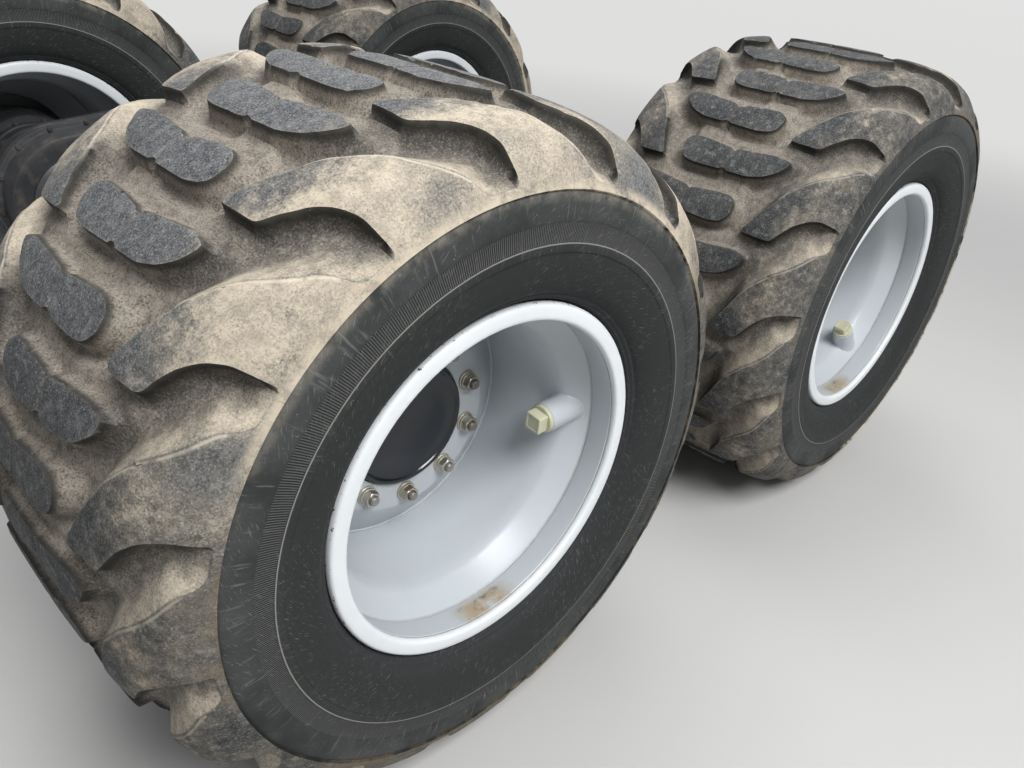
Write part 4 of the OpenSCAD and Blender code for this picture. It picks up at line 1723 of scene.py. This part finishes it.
@dataclass(frozen=True)
class InflationPlug:
    """A welded boss on the barrel's slope with a cream plug: a collar and a square head.

    Attributes:
        along: Distance of the plug's own line from the wheel's middle plane.
        boss_end: Distance of the boss's free end from the wheel's axis.
        boss_root: Distance of its hidden pole.
        around: Points in each ring.
        collar: Height of the collar.
        head_w: Width of the square head.
        head_h: Height of the head.
        turned: Angle of the head in radians.
    """

    along: float = 0.2195
    boss_end: float = 0.232
    boss_root: float = 0.298
    around: int = 64
    collar: float = 0.008
    head_w: float = 0.040
    head_h: float = 0.024
    turned: float = 0.08

    def boss(self, corner: Corner, rim: Rim) -> Patch:
        """The boss: rings about the plug's own line, whose root follows the rim's inner surface.

        A root point lies at the root of (surface radius squared less sideways distance squared).

        Args:
            corner: Wheel that the plug belongs to.
            rim: Rim that carries the boss.

        Returns:
            The closed shell.
        """
        spin = np.arange(self.around) * math.tau / self.around
        rows = (
            (0.0365, 0.003, 1.0), (0.0362, -0.0010, 1.0), (0.0350, -0.0030, 1.0), (0.0333, -0.0060, 1.0),
            (0.0330, 0.0, 0.55), (0.0330, 0.0, 0.12), (0.0330, 0.0015, 0.0), (0.0315, 0.0, 0.0), (0.029, 0.0, 0.0),
        )
        ring, lift, share = (np.array(c)[:, None] for c in zip(*rows))
        swell = 1 + 0.014 * np.sin(spin * 13) * (share > 0.9) * (lift < 0.002)
        u = self.along + ring * swell * np.cos(spin)
        side = ring * swell * np.sin(spin)
        surface = np.sqrt(rim.inner_radius(u) ** 2 - side**2)
        depth = self.boss_end + share * (surface - self.boss_end) + lift
        return self.shell(corner, u, side, depth, self.boss_end, self.boss_root)

    def shell(
        self, corner: Corner, u: Array, side: Array, depth: Array, end: float, root: float
    ) -> Patch:
        """Closes rings about the plug's line with a pole at each end.

        Args:
            corner: Wheel that the plug belongs to.
            u: Distances along the wheel's axis, by ring.
            side: Distances sideways, by ring.
            depth: Distances from the wheel's axis, by ring.
            end: Distance of the outer pole from the wheel's axis.
            root: Distance of the hidden pole from the wheel's axis.

        Returns:
            The closed shell.
        """
        rings, around = u.shape
        u = np.append(u.ravel(), [self.along, self.along])
        side = np.append(side.ravel(), [0, 0])
        depth = np.append(np.broadcast_to(depth, (rings, around)).ravel(), [root, end])
        angle = math.radians(corner.plug_at) + np.arctan2(side, depth)
        points = corner.axis.at(np.hypot(side, depth), angle, u)
        return Patch.plain(points, pointed(rings, around))

    def plug(self, corner: Corner) -> list[Patch]:
        """The collar and the head: rings whose shape goes from a circle to a square with round corners.

        A ring's radius is r over the n-th root of |cos|^n + |sin|^n, where n is 2 for the circle and 12
        for the square.

        Args:
            corner: Wheel that the plug belongs to.

        Returns:
            The closed shells.
        """
        spin = (np.arange(self.around) + 0.5) * math.tau / self.around
        end = self.boss_end
        half = self.head_w / 2
        foot, face = -self.collar, -self.collar - self.head_h
        collar = [
            (0.026, 0.004, 2), (0.0300, 0.004, 2), (0.0310, -0.001, 2), (0.0310, -0.0060, 2), (0.0295, foot, 2),
            (0.020, foot, 2),
        ]
        head = [
            (half - 0.002, 0.0, 12), (half, foot + 0.001, 12), (half, foot, 12), (half, face + 0.0015, 14),
            (half - 0.0012, face, 12), (half - 0.005, face, 8), (half - 0.006, face + 0.0012, 8),
            (0.006, face + 0.0012, 4),
        ]
        shells = []
        for rows, last in ((collar, end + foot), (head, end + face + 0.0012)):
            ring, lift, power = (np.array(c, float)[:, None] for c in zip(*rows))
            shape = ring / (np.abs(np.cos(spin)) ** power + np.abs(np.sin(spin)) ** power) ** (1 / power)
            tilt = spin + self.turned
            u = self.along + shape * np.cos(tilt)
            side = shape * np.sin(tilt)
            shells.append(self.shell(corner, u, side, end + lift, last, end + 0.004))
        return shells

    def build(self, corner: Corner, rim: Rim) -> None:
        """Makes one boss with its plug.

        Args:
            corner: Wheel that they belong to.
            rim: Rim that carries them.
        """
        piece = Piece("welded_boss_and_plug_" + corner.word, corner.body, [coat(Coat.RIM), coat(Coat.PLUG)])
        piece.add(self.boss(corner, rim), 0)
        for patch in self.plug(corner):
            piece.add(patch, 1)
        piece.build(("inflation_plug_" + corner.word,), 36.0)


@dataclass(frozen=True)
class Wheel:
    """A whole wheel."""

    tyre: Tyre = Tyre()
    rim: Rim = Rim()
    nuts: WheelNuts = WheelNuts()
    cap: HubCap = HubCap()
    plug: InflationPlug = InflationPlug()

    def build(self, corner: Corner) -> None:
        """Makes all the pieces of one wheel.

        Args:
            corner: Which wheel.
        """
        self.tyre.build(corner)
        self.rim.build(corner)
        self.nuts.build(corner)
        self.cap.build(corner)
        self.plug.build(corner, self.rim)


# Axle and bogie castings


@dataclass(frozen=True)
class Bolts:
    """A kind of bolt head: a washer and a chamfered hexagon in twelve steps.

    Attributes:
        flats: Width across the flats.
        height: Height of the head.
        washer: Diameter of the washer.
    """

    flats: float = 0.019
    height: float = 0.009
    washer: float = 0.026

    def heads(self, places: Array, out: Array) -> Patch:
        """Sets heads on given places: rings whose radius is the smaller of the hexagon's and a cone's.

        Args:
            places: One row for each head's seat.
            out: Directions in which the heads stand out, one row for each.

        Returns:
            All heads in one patch.
        """
        angle = np.arange(12) * math.tau / 12
        hexagon = self.flats / 2 / np.cos((angle + math.pi / 6) % (math.pi / 3) - math.pi / 6)
        washer = np.full(12, self.washer / 2)
        rings = [
            (washer, -0.002), (washer, 0.0015), (hexagon, 0.0015), (hexagon, 0.82 * self.height),
            (np.minimum(hexagon, self.flats * 0.47), self.height),
        ]
        radius, height = np.array([r for r, _ in rings]), np.array([h for _, h in rings])[:, None]
        local = np.stack([radius * np.cos(angle), radius * np.sin(angle), height + 0 * radius], -1).reshape(-1, 3)
        out = np.broadcast_to(out, places.shape)
        first = np.cross(out, np.where(np.abs(out[:, 2:]) < 0.9, (0.0, 0.0, 1.0), (1.0, 0.0, 0.0)))
        first /= np.linalg.norm(first, axis=1, keepdims=True)
        frames = np.stack([first, np.cross(out, first), out], 1)
        points = (places[:, None] + np.einsum("kj,njx->nkx", local, frames)).reshape(-1, 3)
        step = (np.arange(len(places)) * len(local))[:, None, None]
        faces = [(block[None] + step).reshape(-1, block.shape[1]) for block in capped(len(rings), 12)]
        return Patch.plain(points, faces)

    def circle(self, axis: Axis, count: int, radius: float, along: float, out: float = 1.0) -> Patch:
        """Sets heads on a circle.

        Args:
            axis: Axis of the circle.
            count: Number of heads.
            radius: Radius of the circle.
            along: Place of their seat along the axis.
            out: 1 for heads that stand out along the axis, -1 against it.

        Returns:
            All heads in one patch.
        """
        angle = (np.arange(count) + 0.5) * math.tau / count
        places = axis.at(np.full(count, radius), angle, np.full(count, along))
        return self.heads(places, np.tile(out * np.array(axis.outwards), (count, 1)))


@dataclass(frozen=True)
class RoundPart:
    """A turned part with its bolts.

    Attributes:
        table: Radius, place along the axis and reach of the corner, in millimetres, from pole to pole.
        which: Finish of the part.
        bolts: Rows of count, radius, place along in millimetres and direction.
        kind: Kind of the bolts.
        segments: Steps in a full turn.
    """

    table: Table
    which: Coat = Coat.TURNED
    bolts: tuple[tuple[int, float, float, float], ...] = ()
    kind: Bolts = Bolts()
    segments: int = 64

    def build(self, node: str, body: str, axes: list[Axis]) -> None:
        """Makes the object of one node.

        Args:
            node: Node that it replaces.
            body: Body that it moves with.
            axes: Axes to set the part on.
        """
        piece = Piece("finished_" + node, body, [coat(self.which), coat(Coat.BOLT)])
        for axis in axes:
            piece.add(lathe(axis, rounded(self.table), self.segments, False), 0)
            for count, radius, along, out in self.bolts:
                piece.add(self.kind.circle(axis, count, radius * MM, along * MM, out), 1)
        piece.build((node,))


SPINDLE = RoundPart(
    (
        (0, -413, 0), (178, -413, 2), (178, -383, 3), (163, -380, 6), (147, -372, 6), (144, -366, 8),
        (155, -352, 8), (158, -340, 6), (158, -330, 2), (161, -326, 2), (161, -300, 2), (158, -296, 2),
        (158, -256, 4), (146, -242, 3), (85, -242, 1), (85, -180, 0), (0, -180, 0),
    ),
    Coat.CAST,
    ((14, 166.0, -382.5, 1),),
    Bolts(0.019, 0.010, 0.024),
)
HUB = RoundPart(
    (
        (0, -228, 0), (85.3, -228, 0), (85.3, -236, 1), (157, -236, 3), (157, -216, 4), (175, -196, 4),
        (175, -128, 1), (172, -126, 1), (172, -118, 1), (175, -116, 1), (175, -41, 3), (149.5, -23, 6),
        (149.5, 5, 4), (154.5, 11, 3), (198, 11, 2), (198, 34.8, 2), (140, 34.8, 0), (0, 34.8, 0),
    ),
    Coat.TURNED,
    ((12, 163.5, -222.0, -1),),
    Bolts(0.013, 0.007, 0.016),
    60,
)
PIVOT_RING = RoundPart(
    (
        (0, 366, 0), (118, 366, 0), (118, 360, 0), (150, 360, 4), (155, 376, 10), (162, 398, 10),
        (170, 410, 5), (215, 410, 3), (215, 430, 1), (212, 432, 1), (212, 440, 1), (215, 442, 1),
        (215, 456, 3), (118, 456, 0), (118, 450, 0), (0, 450, 0),
    ),
    Coat.TURNED,
    ((16, 194.0, 410.0, -1),),
    Bolts(0.022, 0.012, 0.028),
    80,
)
PIVOT_COVER = RoundPart(
    (
        (0, 656, 0), (180, 656, 0), (180, 672, 2.5), (168, 677, 2), (152, 683.5, 4), (60, 684, 2), (56, 682, 2),
        (0, 682, 0),
    ),
    Coat.TURNED,
    ((12, 138.0, 683.6, 1),),
    Bolts(0.017, 0.007, 0.022),
)
CASING_COVER = RoundPart(
    ((0, 468, 0), (150, 468, 0), (150, 452, 2.5), (122, 442.5, 4), (40, 442, 2), (37, 444, 2), (0, 444, 0)),
    Coat.TURNED,
    ((10, 108.0, 442.4, -1),),
    Bolts(0.015, 0.007, 0.020),
)
REAR_COVER = RoundPart(
    (
        (0, 230, 0), (170, 230, 0), (170, 259, 3), (136, 259, 8), (118, 271, 14), (98, 287.5, 14),
        (50, 296, 20), (14, 300.5, 3), (12, 301, 1), (0, 301, 0),
    ),
    Coat.CAST,
    ((12, 153.0, 259.0, 1),),
    Bolts(0.019, 0.010, 0.026),
)
CARRIER = RoundPart(
    (
        (0, 230, 0), (180, 230, 0), (180, 268, 3), (150, 271, 8), (138, 285, 10), (112, 325, 14),
        (103, 340, 8), (96, 354, 6), (95, 376, 2), (98, 378, 2), (98, 386, 2), (95, 388, 2), (95, 409, 3),
        (42, 410, 2), (41, 396, 1), (0, 396, 0),
    ),
    Coat.CAST,
    ((12, 164.0, 269.0, 1), (8, 72.0, 410.0, 1)),
    Bolts(0.019, 0.010, 0.026),
)


AHEAD = Axis((0, 0, PIVOT_H), (0, 1, 0), (0, 0, 1), (1, 0, 0))
BEHIND = Axis((0, 0, PIVOT_H), (0, -1, 0), (0, 0, 1), (-1, 0, 0))


@dataclass(frozen=True)
class AxleHousing:
    """The banjo housing: two tubes and cones, the round boss along the pinion's line, level fins."""

    half: Table = (
        (235, 96, 10), (229, 122, 18), (176, 181, 24), (122, 268, 24), (120, 300, 8), (120, 642, 0), (0, 642, 0),
    )
    boss: Table = ((0, -245, 0), (180, -245, 5), (180, 245, 5), (0, 245, 0))
    fin: Line = ((126, 348), (201, 180), (227, 0), (201, -180), (126, -348))
    fin_t: float = 0.024
    segments: int = 96

    def fins(self) -> Patch:
        """A level plate with rounded edges: the outline carried up its edge, drawn in near both faces.

        Returns:
            The closed plate.
        """
        side = np.array(self.fin) * MM
        line = eased(np.concatenate([side, side[::-1] * (-1, 1)]), 0.03, 3)
        rows = ((0.965, -0.5), (0.99, -0.44), (1.0, -0.28), (1.0, 0.28), (0.99, 0.44), (0.965, 0.5))
        flat = np.zeros((len(line), 1))
        rings = [np.hstack([line * (share, 1), flat + PIVOT_H + lift * self.fin_t]) for share, lift in rows]
        return Patch.plain(np.concatenate(rings), capped(len(rings), len(line)))

    def build(self) -> None:
        """Makes the housing."""
        half = np.array(self.half, float)
        table = np.concatenate([half[::-1] * (1, -1, 1), half])
        piece = Piece("finished_axle_housing", "axle", [coat(Coat.CAST), coat(Coat.BOLT)])
        piece.add(lathe(cross_axis(0, PIVOT_H, 1), rounded(table, 4), self.segments, False))
        piece.add(lathe(AHEAD, rounded(self.boss), self.segments, False))
        piece.add(self.fins())
        drain = np.array([[0.0, 0.0, PIVOT_H - 0.2345]])
        piece.add(Bolts(0.030, 0.010, 0.040).heads(drain, np.array([[0.0, 0.0, -1.0]])), 1)
        piece.build(("axle_housing",))


@dataclass(frozen=True)
class GearCasing:
    """A bogie's gear casing: the side view's outline carried across, out over its joint flange.

    Attributes:
        end_r: Radius round each wheel centre.
        middle_r: Radius round the pivot.
        middle_rise: Height of that round's centre over the wheel centres.
        section: Rows of distance outside the outline, place across and reach, in millimetres.
        flange: Places across of the joint flange's two faces.
        inner: Place across of the inner face.
        bolt_line: Distance of the joint bolts outside the outline.
        pitch: Spacing of the joint bolts.
    """

    end_r: float = 0.205
    middle_r: float = 0.245
    middle_rise: float = 0.050
    section: Table = (
        (-24, 462, 0), (-2, 462, 6), (0, 478, 6), (0, 544, 5), (16, 544, 2.5), (16, 561, 0.6),
        (14.5, 562, 0.6), (16, 563, 0.6), (16, 580, 2.5), (0, 580, 5), (0, 646, 6), (-2, 662, 6),
        (-24, 662, 0),
    )
    flange: tuple[float, float] = (0.544, 0.580)
    inner: float = 0.462
    bolt_line: float = 0.008
    pitch: float = 0.105

    def outline(self, rise: float) -> Array:
        """Outline in side view, moved outwards: arcs whose ends are where the tangents touch.

        A tangent's normal stands at the angle whose cosine is the difference of the radii over the
        distance between the centres.

        Args:
            rise: Distance outwards.

        Returns:
            Rows of x and z.
        """
        half = WHEELBASE / 2
        tilt = math.atan2(-self.middle_rise, half)
        open_ = math.acos((self.middle_r - self.end_r) / math.hypot(half, self.middle_rise))
        arcs = (
            (half, 0.0, self.end_r, tilt - open_, tilt + open_, 30),
            (0.0, self.middle_rise, self.middle_r, tilt + open_, math.pi - tilt - open_, 8),
            (-half, 0.0, self.end_r, math.pi - tilt - open_, math.pi - tilt + open_, 30),
            (0.0, self.middle_rise, self.middle_r, -math.pi / 2, -math.pi / 2, 1),
        )
        rows = []
        for x, z, radius, start, end, count in arcs:
            angle = np.linspace(start, end, count)
            reach = radius + rise
            rows.append(np.stack([x + reach * np.cos(angle), AXLE_H + z + reach * np.sin(angle)], 1))
        return np.concatenate(rows)

    def build(self, side: int, word: str) -> None:
        """Makes one casing.

        Args:
            side: 1 for the left, -1 for the right.
            word: Side in words.
        """
        rows = rounded(self.section)
        rings = [np.insert(self.outline(rise), 1, side * across, 1) for rise, across in rows]
        piece = Piece("finished_gear_casing_" + word, "bogie_" + word, [coat(Coat.CAST), coat(Coat.BOLT)])
        piece.add(Patch.plain(np.concatenate(rings), capped(len(rings), len(rings[0]))))
        line = self.outline(self.bolt_line)
        closed = np.concatenate([line, line[:1]])
        length = np.concatenate([[0], np.cumsum(np.linalg.norm(np.diff(closed, axis=0), axis=1))])
        count = int(length[-1] / self.pitch)
        even = np.arange(count) * length[-1] / count
        spots = np.stack([np.interp(even, length, closed[:, k]) for k in (0, 1)], 1)
        for place, out in zip(self.flange, (-side, side)):
            seats = np.insert(spots, 1, side * place, 1)
            piece.add(Bolts(0.013, 0.008, 0.015).heads(seats, np.tile([0.0, out, 0.0], (count, 1))), 1)
        plugs = np.array([[x, side * self.inner, z] for z in (0.60, 0.78) for x in (0.42, -0.42)])
        piece.add(Bolts(0.024, 0.010, 0.034).heads(plugs, np.tile([0.0, -side, 0.0], (4, 1))), 1)
        piece.build(("gear_casing_" + word,))


@dataclass(frozen=True)
class BlackParts:
    """All castings and covers of the axle and its two bogies."""

    housing: AxleHousing = AxleHousing()
    casing: GearCasing = GearCasing()

    def build(self) -> None:
        """Makes them all."""
        self.housing.build()
        REAR_COVER.build("rear_cover", "axle", [BEHIND])
        CARRIER.build("differential_carrier", "axle", [AHEAD])
        for side, word in ((1, "left"), (-1, "right")):
            self.casing.build(side, word)
            pivot = cross_axis(0, PIVOT_H, side)
            ends = [cross_axis(end * WHEELBASE / 2, AXLE_H, side) for end in (1, -1)]
            PIVOT_RING.build("pivot_ring_" + word, "axle", [pivot])
            PIVOT_COVER.build("pivot_cover_" + word, "bogie_" + word, [pivot])
            CASING_COVER.build("casing_covers_" + word, "bogie_" + word, ends)
        for corner in Corner:
            SPINDLE.build("spindle_" + corner.word, "bogie_" + corner.word.split("_")[1], [corner.axis])
            HUB.build("hub_" + corner.word, corner.body, [corner.axis])


# Frame parts that keep their own meshes


@dataclass(frozen=True)
class CarriedOver:
    """Finishes for the nodes whose own shape is shown."""

    starts: tuple[tuple[str, Coat], ...] = (("frame_pad", Coat.CAST), ("drive_flange", Coat.STEEL))

    def dress(self, nodes: dict[str, bpy.types.Object]) -> None:
        """Gives each node still shown its finish.

        Args:
            nodes: Nodes of the frame by name.
        """
        for name, thing in nodes.items():
            found = [which for start, which in self.starts if name.startswith(start)]
            if not found:
                continue
            if not thing.material_slots:
                thing.data.materials.append(None)
            for slot in thing.material_slots:
                slot.material = coat(found[0])
            LOG.info("%s: %s", name, found[0].value.name)


# Studio


@dataclass(frozen=True)
class Studio:
    """Floor, soft lights and the camera at the photograph's angle.

    Attributes:
        eye: Place of the camera.
        right: Direction to the image's right.
        down: Direction to the image's bottom.
        ahead: Direction of view.
        focal: Focal length in pixels of a 1024 wide image.
        middle: Pixel on the optical axis.
    """

    eye: Triple = (1.67806, 2.26752, 1.57956)
    right: Triple = (-0.686857, 0.718983, 0.106262)
    down: Triple = (0.318541, 0.429219, -0.845164)
    ahead: Triple = (-0.653268, -0.546658, -0.523837)
    focal: float = 820.71
    middle: tuple[float, float] = (556.67, 426.01)
    width: int = 1024
    height: int = 768
    sensor: float = 36.0
    floor_colour: Triple = (0.49, 0.487, 0.476)

    def camera(self) -> None:
        """Sets the camera: its columns are right, up and back, and its shift moves the optical axis."""
        data = bpy.data.cameras.new("photo_view")
        data.sensor_width = self.sensor
        data.lens = self.focal * self.sensor / self.width
        data.shift_x = (self.width / 2 - self.middle[0]) / self.width
        data.shift_y = (self.middle[1] - self.height / 2) / self.width
        data.clip_start, data.clip_end = 0.05, 400.0
        thing = bpy.data.objects.new("photo_view", data)
        columns = [self.right, tuple(-x for x in self.down), tuple(-x for x in self.ahead)]
        turned = Matrix([[columns[k][row] for k in range(3)] for row in range(3)]).to_4x4()
        thing.matrix_world = Matrix.Translation(self.eye) @ turned
        bpy.context.scene.collection.objects.link(thing)
        bpy.context.scene.camera = thing

    def floor(self) -> None:
        """Lays a plain pale floor."""
        mesh = bpy.data.meshes.new("studio_floor")
        mesh.from_pydata([(-150, -150, 0), (150, -150, 0), (150, 150, 0), (-150, 150, 0)], [], [(0, 1, 2, 3)])
        thing = bpy.data.objects.new("studio_floor", mesh)
        bpy.context.scene.collection.objects.link(thing)
        material = bpy.data.materials.new("studio_floor")
        material.use_nodes = True
        shader = material.node_tree.nodes["Principled BSDF"]
        graph = Graph(material.node_tree)
        grey = graph.mix(graph.noise(3.0, 3.0), self.floor_colour, tuple(0.97 * x for x in self.floor_colour))
        away = graph.call("ShaderNodeVectorMath", graph.coordinates(), output="Value", operation="LENGTH")
        seen = away.between(2.6, 9.0) * graph.beheld()
        graph.feed(shader.inputs["Base Color"], graph.mix(seen, grey, (0.0, 0.0, 0.0)))
        shader.inputs["Emission Color"].default_value = (0.68, 0.68, 0.67, 1.0)
        graph.feed(shader.inputs["Emission Strength"], seen)
        shader.inputs["Roughness"].default_value = 0.85
        mesh.materials.append(material)

    def lamp(self, name: str, place: Triple, aim: Triple, size: float, power: float) -> None:
        """Hangs one soft square lamp.

        Args:
            name: Name of the lamp.
            place: Where it hangs.
            aim: Point that it faces.
            size: Length of its side.
            power: Power in watts.
        """
        data = bpy.data.lights.new(name, "AREA")
        data.shape, data.size, data.energy = "SQUARE", size, power
        thing = bpy.data.objects.new(name, data)
        thing.location = place
        thing.rotation_mode = "QUATERNION"
        thing.rotation_quaternion = (Vector(place) - Vector(aim)).to_track_quat("Z", "Y")
        bpy.context.scene.collection.objects.link(thing)

    def world(self) -> None:
        """Lights evenly from all round, and shows a paler background than it lights with."""
        world = bpy.data.worlds.new("studio")
        world.use_nodes = True
        bpy.context.scene.world = world
        graph = Graph(world.node_tree)
        back = world.node_tree.nodes["Background"]
        back.inputs["Color"].default_value = (0.92, 0.95, 1.0, 1.0)
        graph.feed(back.inputs["Strength"], graph.beheld() * 0.53 + 0.27)

    def build(self) -> None:
        """Sets the whole studio."""
        self.camera()
        self.floor()
        self.lamp("key", (1.2, 5.2, 6.1), (0.4, 1.0, 0.6), 3.2, 600.0)
        self.lamp("overhead", (-0.6, -0.6, 6.2), (0.0, 0.0, 0.6), 4.0, 150.0)
        self.lamp("behind", (-4.5, -5.0, 5.0), (0.0, 0.0, 0.6), 4.0, 150.0)
        self.world()
        bpy.context.scene.view_settings.view_transform = "Standard"


def main() -> None:
    """Builds and dresses the whole axle."""
    logging.basicConfig(level=logging.INFO, format="%(message)s")
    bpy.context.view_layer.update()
    Studio().build()
    wheel = Wheel()
    for corner in Corner:
        wheel.build(corner)
    BlackParts().build()
    CarriedOver().dress(frame["nodes"])
    LOG.info("%d triangles in %d pieces", sum(TALLY), len(TALLY))


if __name__ == "__main__":
    main()
